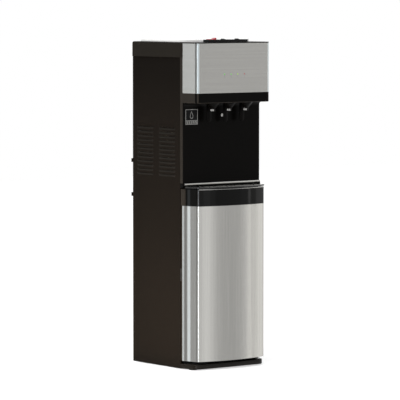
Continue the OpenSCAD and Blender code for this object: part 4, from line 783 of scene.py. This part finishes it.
# %% Niche wall
def niche_wall():
    """A U in plan with rounded outer edges, its flat face tessellated round the slot of the child lock."""
    a = np.linspace(0, math.pi / 2, 8)
    corner = np.c_[-152 - 3 * np.sin(a), NICHE_BACK - 3 * np.cos(a)][::-1]
    left = np.concatenate([[[-155, FRONT_Y], [-155, -95.6]], corner, [[-151.6, NICHE_Y]]])
    right = left[::-1] * [-1, 1]
    outside = np.concatenate([left, right])
    inside = np.array([[152, FRONT_Y], [152, NICHE_BACK], [-152, NICHE_BACK], [-152, FRONT_Y]])
    ring = np.concatenate([outside, inside])
    slot = round_box(-1.3, 9.3, 805.2, 809.8, 0.8, 4)
    hole = lambda y: slot[:, [0, 0, 1]] * [1, 0, 1] + [0, y, 0]
    keep = np.ones((1, len(ring)), bool)
    keep[0, len(left) - 1] = keep[0, len(outside) + 1] = False
    shell = grid(np.stack([at_height(ring, NICHE_Z), at_height(ring, HEAD_Z)]), wrap_cols=True, keep=keep)
    faces = []
    for half, y in ((151.6, NICHE_Y), (152, NICHE_BACK)):
        face = plate(np.array([[-half, NICHE_Z], [half, NICHE_Z], [half, HEAD_Z], [-half, HEAD_Z]]), [slot], y)
        faces.append((face[0][:, [0, 2, 1]], face[1]))
    around = grid(np.stack([hole(NICHE_Y), hole(NICHE_BACK)]), wrap_cols=True)
    # The wall's faces that look sideways take the paler side-lit ABS: painted light.
    shell = split_off(shell, lambda m: (np.abs(m[:, 0]) > 154) & (m[:, 1] > -98.6), 1)
    return [*shell, plate(ring, [], NICHE_Z), plate(ring, [], HEAD_Z), around, *faces]


def hollow():
    """The cove: a quarter circle of 16 mm cut from a square bar, along the ceiling's rear edge."""
    a = np.linspace(0, math.pi / 2, 13)
    arc = np.c_[-115 + 16 * np.sin(a), 832.5 + 16 * np.cos(a)]
    return extruded(np.concatenate([arc, [[NICHE_Y - 0.01, HEAD_Z - 0.01]]]), -151.9, 151.9)


piece("niche_wall", niche_wall() + [hollow()], [satin_abs, side_lit_abs],
      "cabinet", "niche_panel")

# %% [markdown]
# The film on the niche's left is printed with a frame, a plain drop and two rows of five dashes.


# %% Film
FILM_Y, INK_Y = -99.3, -99.38


def film_path(t):
    """The film's outline, inset by t."""
    return round_box(-145 + t, -94 - t, 778.5 + t, 829.5 - t, 1.5, 4)


def label_art():
    """Flat shapes 0.08 mm thick: the bars of a frame, two rows of five dashes, and the outline of a drop."""
    x0, x1, z0, z1, wide = -143.6, -95.6, 780, 828, 1.6
    bars = [(x0, x1, z1 - wide, z1), (x0, x0 + wide, z0 + 13.05, z1 - 1.65),
            (x1 - wide, x1, z0 + 13.05, z1 - 1.65), (x0, x1, z0, z0 + wide), (x0, x1, z0 + 11.4, z0 + 13),
            (x0, x0 + wide, z0 + 1.65, z0 + 11.35), (x1 - wide, x1, z0 + 1.65, z0 + 11.35)]
    for row, shift in ((z0 + 8.4, 3.2), (z0 + 4.6, 4.4)):
        starts = [x0 + shift + 8.6 * k for k in range(5)]
        bars += [(x, x + 6.2, row - 1.25, row + 1.25) for x in starts]
    parts = [shown(p, 1) for bar in bars for p in key(*bar, 0.15, [(0, INK_Y), (0, FILM_Y)], 2)]
    a = np.linspace(0, 2 * math.pi, 40, endpoint=False)
    across, up = 8.5 * np.sin(a) * np.sin(a / 2) ** 1.4, 12 * np.cos(a)
    out, within = [np.c_[(x0 + x1) / 2 + s * across, 810.5 - low + s * up] for s, low in ((1, 0), (0.78, 0.8))]
    rings = [at_height(r, y) for r, y in ((out, FILM_Y), (out, INK_Y), (within, INK_Y), (within, FILM_Y))]
    return parts + [shown(p, 1) for p in standing([grid(np.stack(rings), wrap_rows=True, wrap_cols=True)])]


film = standing(solid(film_path, [(0.1, -99.34), (0, FILM_Y), (0, NICHE_Y)]))
piece("niche_film", film + label_art(), [film_black, silver_ink], "cabinet", "niche_sticker")

# %% [markdown]
# ## Spouts and levers
# Each spout is a conical hood that guides a cup's rim, with a nozzle under it that ends in a pale
# sleeve. The hood is clipped flat behind, where the lever hangs from its pin. A lever
# pushed back by the cup opens the valve.


# %% Spouts
def spout(x):
    """One closed profile: up the bore, round the lip, out along the cone, back to the shank and the barb."""
    nozzle = [(4, 871.5), (4, 821.8), (4.3, 821.5), (7.2, 821.5), (7.8, 821.8), (8, 822.4), (8, 827.4),
              (8, 828.4), (8, 831.2)]
    cone = [(8.3, 831.5), (8.8, 831.5), (9.4, 831.9), (21.2, 847.2), (21.8, 848.1), (21.8, HEAD_Z)]
    shank = [(10, HEAD_Z), (10, 851.5), (5.5, 851.5), (5.5, 868), (5.1, 871.5), (4, 871.5)]
    form = turned(nozzle + cone + shank, (x, SPOUT_Y), 56, flat_back=-124.0)

    def sleeve(m):
        out = np.hypot(m[:, 0] - x, m[:, 1] - SPOUT_Y)
        return (out > 6.8) & (m[:, 0] < x - 1.5) & (m[:, 2] > 822.2) & (m[:, 2] < 828)

    return split_off(form, sleeve, 1)


for where, x in zip(ORDER, SPOUTS):
    piece(f"{where}_spout", spout(x), [satin_abs, silver_ink], "cabinet", f"spout_{where}")


# %% Levers
def lever(x):
    """A blade with a round end, narrowed above its pin, and the hub round the pin."""
    a = np.linspace(math.pi, 2 * math.pi, 19)

    def blade(t):
        low = np.c_[x + (9 - t) * np.cos(a), 795.5 + (9 - t) * np.sin(a)]
        high = [[x + 9 - t, 861.5 - t], [x + 4.5 - t, 866 - t], [x + 4.5 - t, 872.5 - t],
                [x - 4.5 + t, 872.5 - t], [x - 4.5 + t, 866 - t], [x - 9 + t, 861.5 - t]]
        return np.concatenate([low, high])

    half_hub = [(2.05, -9), (4.2, -9), (4.5, -8.7)]
    hub = [(r, x + y) for r, y in half_hub] + [(r, x - y) for r, y in half_hub[::-1]] + [(2.05, x - 9)]
    section = [(0.5, -121), (0.15, -120.85), (0, -120.5), (0, -118.5), (0.15, -118.15), (0.5, -118)]
    return standing(solid(blade, section)) + [lying(turned(hub, (LEVER_Y, LEVER_Z), 28))]


for where, x in zip(ORDER, SPOUTS):
    piece(f"{where}_lever_blade", lever(x), satin_abs, f"{where}_lever", f"lever_{where}")

lock = key(-2, 4, 802.7, 812.3, 2.2, [(0.9, -102), (0.3, -101.8), (0, -101.2), (0, -99.6), (0.2, -99.35)], 6)
stem = key(-1, 3, 805.5, 809.5, 0.5, [(0, -99.6), (0, -95.2)])
grip = [(0, -102), (0, -101.5)]
grips = [p for z in (804.5, 807.5, 810.5) for p in key(-1.2, 3.2, z - 0.4, z + 0.4, 0.3, grip)]
piece("child_lock_button", lock + stem + grips, white_plastic, "lock_slider", "child_lock")

# %% [markdown]
# ## Tray and grille
# The tray lifts out for emptying. Its rim follows the door's bow, so its bowl is the same plan
# further in. The steel grille that covers it has its edge rolled over and is slotted front to back.


# %% Tray
TRAY_HALF, TRAY_REAR, TRAY_CORNER, TRAY_FRONT = 151.0, -106.8, 135.0, -176.0
BOWL_REAR, BOWL_HALF = -109.8, 117.1


def tray_path(t):
    """The tray's plan, inset by t: the door's plan, a little wider and reaching over it."""
    return both_sides(front_half(TRAY_HALF, TRAY_REAR, TRAY_CORNER, DOOR_CORNER_Y, TRAY_FRONT, DOOR_ROUND, t))


def bowl_path(t):
    """The bowl's plan: the door's, further in, and cut straight at its sides."""
    outline = both_sides(front_half(HALF_W, BOWL_REAR - t, DOOR_HALF, DOOR_CORNER_Y, DOOR_FRONT, DOOR_ROUND,
                                    7 + t, 16.5 + t))
    return np.c_[np.clip(outline[:, 0], t - BOWL_HALF, BOWL_HALF - t), outline[:, 1]]


rim = [(1.9, TRAY_UNDER), (1.4, 579.5), (1.4, 581), (1.9, TRAY_TOP)]
inside = [(5.6, TRAY_TOP), (5.6, 563.4), (5.8, 562.2), (6.4, 561.3), (7.6, 561)]
outside = [(5.4, 559), (4.2, 559.2), (3.7, 560), (3.6, 561.2), (3.6, TRAY_UNDER)]
tray = [wall_of(tray_path, rim), plate(tray_path(1.9), [bowl_path(5.6)], TRAY_TOP),
        plate(tray_path(1.9), [bowl_path(3.6)], TRAY_UNDER),
        wall_of(bowl_path, inside), plate(bowl_path(7.6), [], 561),
        wall_of(bowl_path, outside), plate(bowl_path(5.4), [], 559)]
piece("tray_bowl", tray, gloss_abs, "tray", "drip_tray")


# %% Grille
def grille_slots():
    """Slots 3 mm wide every 9 mm, each as long as the bowl is deep at that X, with round ends."""
    rim = bowl_path(8.6)
    front = rim[rim[:, 1] < -125]
    front = front[np.argsort(front[:, 0])]
    a, out = np.linspace(0, math.pi, 7), []
    for x in np.arange(-99, 100, 9.0):
        low = float(np.interp(x, front[:, 0], front[:, 1])) + 2.5
        high = float(rim[:, 1].max()) - 2.0
        out.append(np.concatenate([np.c_[x + 1.5 * np.cos(a), high + 1.5 * np.sin(a)],
                                   np.c_[x - 1.5 * np.cos(a), low - 1.5 * np.sin(a)]]))
    return out


slots = grille_slots()
hem = [(0.7, TRAY_UNDER), (0.25, 579.1), (0.05, 579.4), (0, 582.1), (0, 582.5)]
edge = rim_up(1.3, GRILLE_TOP)[1:]
# The lower part of the rolled edge and the walls of the slots take the black tray ABS: painted shade under the
# edge and in the slots.
grille = [shown(wall_of(tray_path, hem), 1), shown(wall_of(tray_path, edge[:4]), 1),
          wall_of(tray_path, edge[3:]), plate(tray_path(edge[-1][0]), slots, GRILLE_TOP),
          wall_of(tray_path, [(0.7, TRAY_UNDER), (0.8, TRAY_UNDER)]),
          straight(tray_path(0.8), TRAY_UNDER, GRILLE_SEAT), plate(tray_path(0.8), slots, GRILLE_SEAT)]
grille += [shown(straight(s, GRILLE_SEAT, GRILLE_TOP), 1) for s in slots]
piece("grille_plate", grille, [steel_grille, gloss_abs], "grille", "drip_grille")

# %% [markdown]
# The ledge behind the tray ends in a rounded nose, and a polished strip is clipped over it. It is
# a half round a quarter of a millimetre thick, pushed along the ledge.

# %% Ledge trim
a = np.linspace(0, math.pi, 15)
arcs = [np.c_[-103.2 - r * np.sin(a), 591 + r * np.cos(a)] for r in (3.3, 3.04)]
trim = extruded(np.concatenate([arcs[0], arcs[1][::-1]]), -151.8, 151.8)
piece("ledge_trim", trim, steel_grille, "cabinet")

# %% [markdown]
# ## Switches
# Three rockers sit in one bezel on top of the head. The red one is for hot water and is switched
# the other way from the two black ones, so its right end stands up.


# %% Bezel and rockers
def window(x, t=0.0):
    """The opening for one rocker."""
    return round_box(x - 16.2 - t, x + 16.2 + t, BEZEL_Y - 9.2 - t, BEZEL_Y + 9.2 + t, 1.2 + t, 3)


def bezel_path(t):
    """The bezel's plan, inset by t."""
    return round_box(-81 + t, 81 - t, BEZEL_Y - 13 + t, BEZEL_Y + 13 - t, 3 - t * 0.5, 6)


rows = [(0.3, TOP_Z), (0, TOP_Z + 0.3), *rim_up(1.2, RAISED_TOP)]
bezel = [wall_of(bezel_path, rows), plate(bezel_path(rows[0][0]), [window(x) for x in ROCKERS], TOP_Z),
         plate(bezel_path(rows[-1][0]), [window(x, 0.4) for x in ROCKERS], RAISED_TOP)]
bezel += [walls([window(x), window(x), window(x, 0.4)], [TOP_Z, RAISED_TOP - 0.4, RAISED_TOP]) for x in ROCKERS]
piece("bezel_frame", bezel, switch_black, "cabinet", "switch_bezel")


ROCKER_Z = 1043


def rocker(x, tilt, end, mid):
    """Two pressing faces that dip from end to mid height, tilted about the pin and pushed through the width."""
    u = np.linspace(1, -1, 17)
    top = np.c_[14 * u, mid + (end - mid) * np.abs(u) ** 1.25]
    top[0], top[-1] = [13.6, end - 0.25], [-13.6, end - 0.25]
    turn = math.radians(tilt)
    spin = np.array([[math.cos(turn), -math.sin(turn)], [math.sin(turn), math.cos(turn)]])

    def outline(t):
        left = [[-14 + t, end - 0.8 - t * 0.6], [-14 + t, 0.4 * t], [-7 + t * 0.4, -4 + t]]
        right = [[7 - t * 0.4, -4 + t], [14 - t, 0.4 * t], [14 - t, end - 0.8 - t * 0.6]]
        shape = np.concatenate([top - [0, t] - np.sign(top[:, :1]) * [t, 0], left, right])
        return shape @ spin.T + [x, ROCKER_Z]

    cheek = [(0.5, 8.5), (0.15, 8.35), (0, 8)]
    section = [(t, BEZEL_Y - y) for t, y in cheek] + [(t, BEZEL_Y + y) for t, y in cheek[::-1]]
    return standing(solid(outline, section))


KEYS = [(8, 9, 6, red_plastic, "red_plastic")] + 2 * [(-8, 6, 4, switch_black, "black_plastic")]
for where, x, (tilt, end, mid, colour, slot) in zip(ORDER, ROCKERS, KEYS):
    piece(f"{where}_rocker_key", rocker(x, tilt, end, mid), colour, f"{where}_rocker", f"rocker_{where}")

# %% [markdown]
# ## The door
# A bowed steel skin is held between two black mouldings. Seen from above, each side has a shallow
# flute that serves as a grip, and the edge at the hinge is struck about the hinge pin so that it
# clears the cabinet as it swings.


# %% Door outline
GRIP_END, HINGE_R = 44, 14


def flute(s):
    """How far the side dips inwards s mm from its rear edge: a rolled rear edge, then a soft groove."""
    rear = 1.7 * np.clip(1 - s / 15, 0, 1) ** 2
    rise = np.clip((s - 15) / 7.5, 0, 1)
    fall = np.clip((s - 22.5) / 17.5, 0, 1)
    return rear + 1.4 * (rise * rise * (3 - 2 * rise)) * (1 - fall * fall * (3 - 2 * fall))


def door_path(t, tf=None):
    """The door's plan, inset by t at its sides and tf at its front, from left rear round to the hinge."""
    half = front_half(HALF_W, DOOR_REAR, DOOR_HALF, DOOR_CORNER_Y, DOOR_FRONT, DOOR_ROUND, t, tf)[12:]
    way = np.array([DOOR_HALF - HALF_W, DOOR_CORNER_Y - DOOR_REAR])
    way = way / math.hypot(*way)
    inward = np.array([way[1], -way[0]])
    start = np.array([HALF_W - t / -way[1], DOOR_REAR])
    length = float((half[0] - start) @ way)
    flat = np.linspace(GRIP_END, length, 5)[1:]
    s = np.concatenate([np.linspace(0, GRIP_END, 34), flat])
    left = (start + np.outer(s, way) + np.outer(flute(s), inward)) * [-1, 1]
    radius = HINGE_R - t
    turn = math.atan2(-inward[1], -inward[0]) + math.acos((HINGE - start) @ inward / radius)
    arc = np.linspace(turn, math.pi / 2, 9)
    corner = HINGE + radius * np.c_[np.cos(arc), np.sin(arc)]
    s = np.concatenate([np.linspace(float((corner[0] - start) @ way), GRIP_END, 34), flat])
    right = start + np.outer(s, way) + np.outer(np.where(s > 15, flute(s), 0), inward)
    return np.concatenate([left, half[1:] * [-1, 1], half[-2:0:-1], right[::-1], corner[1:]])


skin = carried(door_path, sheet_section(DOOR_Z + 0.1, SKIN_TOP - 0.15, 0.3, 0.08, 0.1))
# The last six millimetres of steel at each rear edge take the black cover ABS: painted shade where the rolled
# edge lies in shadow.
piece("door_wrap", split_off(skin, lambda m: m[:, 1] > -94.4, 1), [steel_door, grained_abs],
      "door", "door_skin", sharp=60)

# %% [markdown]
# Behind the steel stands a black liner with six upright ribs, which keeps the thin sheet from
# drumming, and a shallow cap closes its foot. Both follow the same path further in.

# %% Door liner
def short_path(t, tf):
    """The door's plan, inset, its free ends cut back four tenths of a millimetre behind the steel."""
    path = door_path(t, tf)
    return np.c_[path[:, 0], np.minimum(path[:, 1], DOOR_REAR - 0.4)]


def upright_rib(x):
    """A bar from the liner's front wall to 14 mm behind the door's face, narrowed towards its free edge."""
    face = door_path(0.0)
    front = face[face[:, 1] < DOOR_CORNER_Y - 2]
    front = front[np.argsort(front[:, 0])]
    y = float(np.interp(x, front[:, 0], front[:, 1]))
    bar = np.array([[x - 1.2, y + 3.5], [x + 1.2, y + 3.5], [x + 0.9, y + 13.6], [x + 0.5, y + 14],
                    [x - 0.5, y + 14], [x - 0.9, y + 13.6]])
    return solid(lambda t: bar, [(0, 45.2), (0, SKIN_TOP - 0.2)])


liner = [(0.85, 0.85, 45), (0.85, 0.85, SKIN_TOP - 0.1), (7, 3.8, SKIN_TOP - 0.1), (7, 3.8, 45)]
ribs = [p for k in range(6) for p in upright_rib((k - 2.5) * RIB_PITCH)]
piece("door_liner", [carried(short_path, liner), *ribs], grained_abs, "door", "door_panel")
foot_cap = [(0.85, 0.85, 44.9), (0.85, 0.85, 29.5), (1.35, 1.35, DOOR_Z), (8.5, 14, DOOR_Z),
            (8.5, 14, 32), (7, 3.8, 32), (7, 3.8, 44.9)]
piece("door_foot", carried(short_path, foot_cap), grained_abs, "door", "door_bottom_cap")

# %% [markdown]
# The black cap over the steel carries the upper hinge pin. Its flat top runs in from the edge to
# a wall that closes the door's hollow, and a bright trim runs along its upper front edge.

# %% Door cap
cap = [(0, 0, SKIN_TOP), *[(t, t, z) for t, z in rim_up(2.2, DOOR_TOP)], (8.5, 14, DOOR_TOP),
       (8.5, 14, 574), (7, 3, 574), (7, 3, SKIN_TOP)]


def trim_edge(m):
    """The faces of the rounded upper edge, along the front."""
    return (m[:, 2] > DOOR_TOP - 2.2) & (m[:, 2] < DOOR_TOP - 0.02) & (m[:, 1] < DOOR_CORNER_Y)


band = split_off(carried(door_path, cap), trim_edge, 1)
# The left side of the band takes the paler side-lit ABS, painted light, and its left front corner a lighter,
# glossier copy of black ABS, a painted highlight.
sides = split_off(band[0], lambda m: (m[:, 0] < 0) & (m[:, 1] > -106), 2)
corner = split_off(sides[0], lambda m: (m[:, 0] < 0) & (m[:, 1] < -147.2) & (m[:, 1] > -151.8), 3)
piece("door_band", corner + sides[1:] + band[1:], [band_abs, steel_grille, side_lit_abs, gloss_abs],
      "door", "door_top_cap")

# %% [markdown]
# ## Finishes for the solids that are kept
# Flat sheets, brackets, tanks and fittings are already the right shape as solids. They keep their
# mesh and take the finish of the real piece.

# %% Finishes of the kept solids
KEPT = {
    satin_abs: ["tray_shelf", "cord_gland", "drain_outlets", "drain_cap_left", "drain_cap_right",
                "lever_switches"],
    powder_paint: ["condenser_rails"],
    switch_black: ["switch_bodies", "catch_magnet"],
    galvanised: ["rear_panel", "bay_partition", "filter_bracket"],
    plain_steel: ["lever_pins", "strike_plate", "hinge_pins", "cold_tank", "hot_tank", "rear_screws"],
    white_plastic: ["hinge_bushes", "filter_heads", "filter_left", "filter_right", "inlet_fitting",
                    "inlet_valve", "water_lines"],
    board_green: ["indicator_board"],
    foam_cream: ["tank_foam"],
    enamel: ["compressor", "condenser"],
    rubber: ["compressor_mounts"],
    copper: ["refrigerant_lines"],
}
for colour, names in KEPT.items():
    for name in names:
        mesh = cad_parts[name].data
        mesh.materials.clear()
        mesh.materials.append(colour)
print("kept solids", sum(len(names) for names in KEPT.values()))

# %% [markdown]
# ## Camera
# The photographer stood almost ten metres away to the front left, a little above the cabinet's
# middle, with a long lens. The numbers come from fitting sixteen points of the cooler to the
# picture at the sizes set above, and other sizes would give another view.

# %% Camera
AIM, DISTANCE = Vector((0, 0.007, 0.52)), 9.75
# In pixels of a picture 400 wide: the focal length, and how far the centre lies off the aim.
FOCAL, PICTURE, OFF_X, OFF_Y = 3025, 400, 1.38, 2.89
turn, rise = math.radians(37.22), math.radians(4.08)
ahead = Vector((math.sin(turn) * math.cos(rise), math.cos(turn) * math.cos(rise), -math.sin(rise)))
right = Vector((math.cos(turn), -math.sin(turn), 0))
up = right.cross(ahead)
where = AIM - DISTANCE * ahead
look = (ahead - right * OFF_X / FOCAL + up * OFF_Y / FOCAL).normalized()
side = look.cross(up).normalized()
top = side.cross(look)
eye = bpy.data.objects.new("camera", bpy.data.cameras.new("camera"))
bpy.context.scene.collection.objects.link(eye)
eye.matrix_world = Matrix.Translation(where) @ Matrix((side, top, -look)).transposed().to_4x4()
eye.data.sensor_width, eye.data.lens = 36.0, 36.0 * FOCAL / PICTURE
eye.data.clip_start, eye.data.clip_end = 0.1, 60.0
bpy.context.scene.camera = eye
print("camera at", [round(v, 2) for v in where])

# %% [markdown]
# ## Light
# The product stands on seamless white paper, which the camera sees as pure white. Steel shows what
# stands around it, so the floor is hidden from reflections, and upright screens of several greys
# and a few bright strips give the door and the head their streaks, as they do in a studio.

# %% Background and floor
scene = bpy.context.scene
scene.view_settings.view_transform = "Standard"
world = bpy.data.worlds.new("paper")
scene.world = world
world.use_nodes = True
tree = world.node_tree
tree.nodes.clear()
path = add(tree, "ShaderNodeLightPath")
most = {"operation": "MAXIMUM"}
seen = add(tree, "ShaderNodeMath", most, i0=(path, "Is Camera Ray"), i1=(path, "Is Glossy Ray"))
seen = add(tree, "ShaderNodeMath", most, i0=(seen, "Value"), i1=(path, "Is Transmission Ray"))
paper = add(tree, "ShaderNodeBackground", Color=(1, 1, 1, 1), Strength=1.0)
fill = add(tree, "ShaderNodeBackground", Color=(1, 1, 1, 1), Strength=0.6)
either = add(tree, "ShaderNodeMixShader", i0=(seen, "Value"), i1=(fill, "Background"), i2=(paper, "Background"))
add(tree, "ShaderNodeOutputWorld", Surface=(either, "Shader"))


def bare_material(name):
    """A material with no nodes yet."""
    made = bpy.data.materials.new(name)
    made.use_nodes = True
    made.node_tree.nodes.clear()
    return made, made.node_tree


def staged(name, corners, finish):
    """A flat card through four corners, in metres, that belongs to the studio and not to the cooler."""
    mesh = bpy.data.meshes.new(name)
    mesh.from_pydata(corners, [], [(0, 1, 2, 3)])
    mesh.materials.append(finish)
    made = bpy.data.objects.new(name, mesh)
    bpy.context.scene.collection.objects.link(made)
    return made


floor_paper, tree = bare_material("white_floor_paper")
matt = add(tree, "ShaderNodeBsdfDiffuse", Color=(0.9, 0.9, 0.9, 1))
glow = add(tree, "ShaderNodeEmission", Color=(1, 1, 1, 1), Strength=0.55)
both = add(tree, "ShaderNodeAddShader", i0=(matt, "BSDF"), i1=(glow, "Emission"))
add(tree, "ShaderNodeOutputMaterial", Surface=(both, "Shader"))
floor = staged("floor_paper", [(-8, -8, 0), (8, -8, 0), (8, 8, 0), (-8, 8, 0)], floor_paper)
floor.visible_glossy = False


# %% Screens, strips and lamps
def screen(name, low, high, grey, tint, distance=5.0):
    """An upright card between two azimuths, in degrees from the front to the left; only reflections see it."""
    made, tree = bare_material(name)
    light = add(tree, "ShaderNodeEmission", Color=linear(tint), Strength=grey)
    add(tree, "ShaderNodeOutputMaterial", Surface=(light, "Emission"))
    ends = [math.radians(a) for a in (low, high)]
    (ax, ay), (bx, by) = [(-distance * math.sin(a), -distance * math.cos(a)) for a in ends]
    card = staged(name, [(ax, ay, -4), (bx, by, -4), (bx, by, 5), (ax, ay, 5)], made)
    card.visible_camera = card.visible_diffuse = card.visible_shadow = False


NEUTRAL, COOL, WARM = "#ffffff", "#f1f9ff", "#fffefc"
SCREENS = [("rear_left", 150, 185, 0.25, NEUTRAL), ("left_soft", 121, 142, 0.7, WARM),
           ("left_white", 111.5, 121, 1.95, COOL), ("left_grey", 98, 111.5, 0.64, NEUTRAL),
           ("left_dark", 66, 98, 0.4, NEUTRAL), ("strip_left", 47, 51.5, 9.0, COOL),
           ("strip_front", -12, -6, 1.35, NEUTRAL), ("right_grey", -42, -17, 0.7, NEUTRAL),
           ("right_pale", -50.8, -42, 0.8, NEUTRAL), ("strip_middle", -53.4, -50.8, 2.2, WARM),
           ("right_edge", -60, -53.4, 0.8, WARM), ("strip_right", -73, -60, 1.4, WARM)]
for name, low, high, grey, tint in SCREENS:
    screen("screen_" + name, low, high, grey, tint)


def lamp(name, azimuth, rise, distance, size, watts, aim=(0, 0, 0.55)):
    """A square soft light that points at the cooler and isn't seen in it."""
    a, e = math.radians(azimuth), math.radians(rise)
    way = Vector((-math.sin(a) * math.cos(e), -math.cos(a) * math.cos(e), math.sin(e)))
    where = way * distance + Vector(aim)
    light = bpy.data.lights.new(name, "AREA")
    light.shape, light.size, light.energy = "SQUARE", size, watts
    made = bpy.data.objects.new(name, light)
    bpy.context.scene.collection.objects.link(made)
    made.location = where
    made.rotation_euler = (Vector(aim) - where).to_track_quat("-Z", "Y").to_euler()
    made.visible_glossy = False


lamp("key_left", 62, 30, 4.0, 2.0, 28)
lamp("low_left", 84, 0, 0.7, 0.4, 9.5, (0, 0, 0.06))
lamp("overhead", 10, 80, 3.5, 2.0, 14)
print("screens", len(SCREENS))
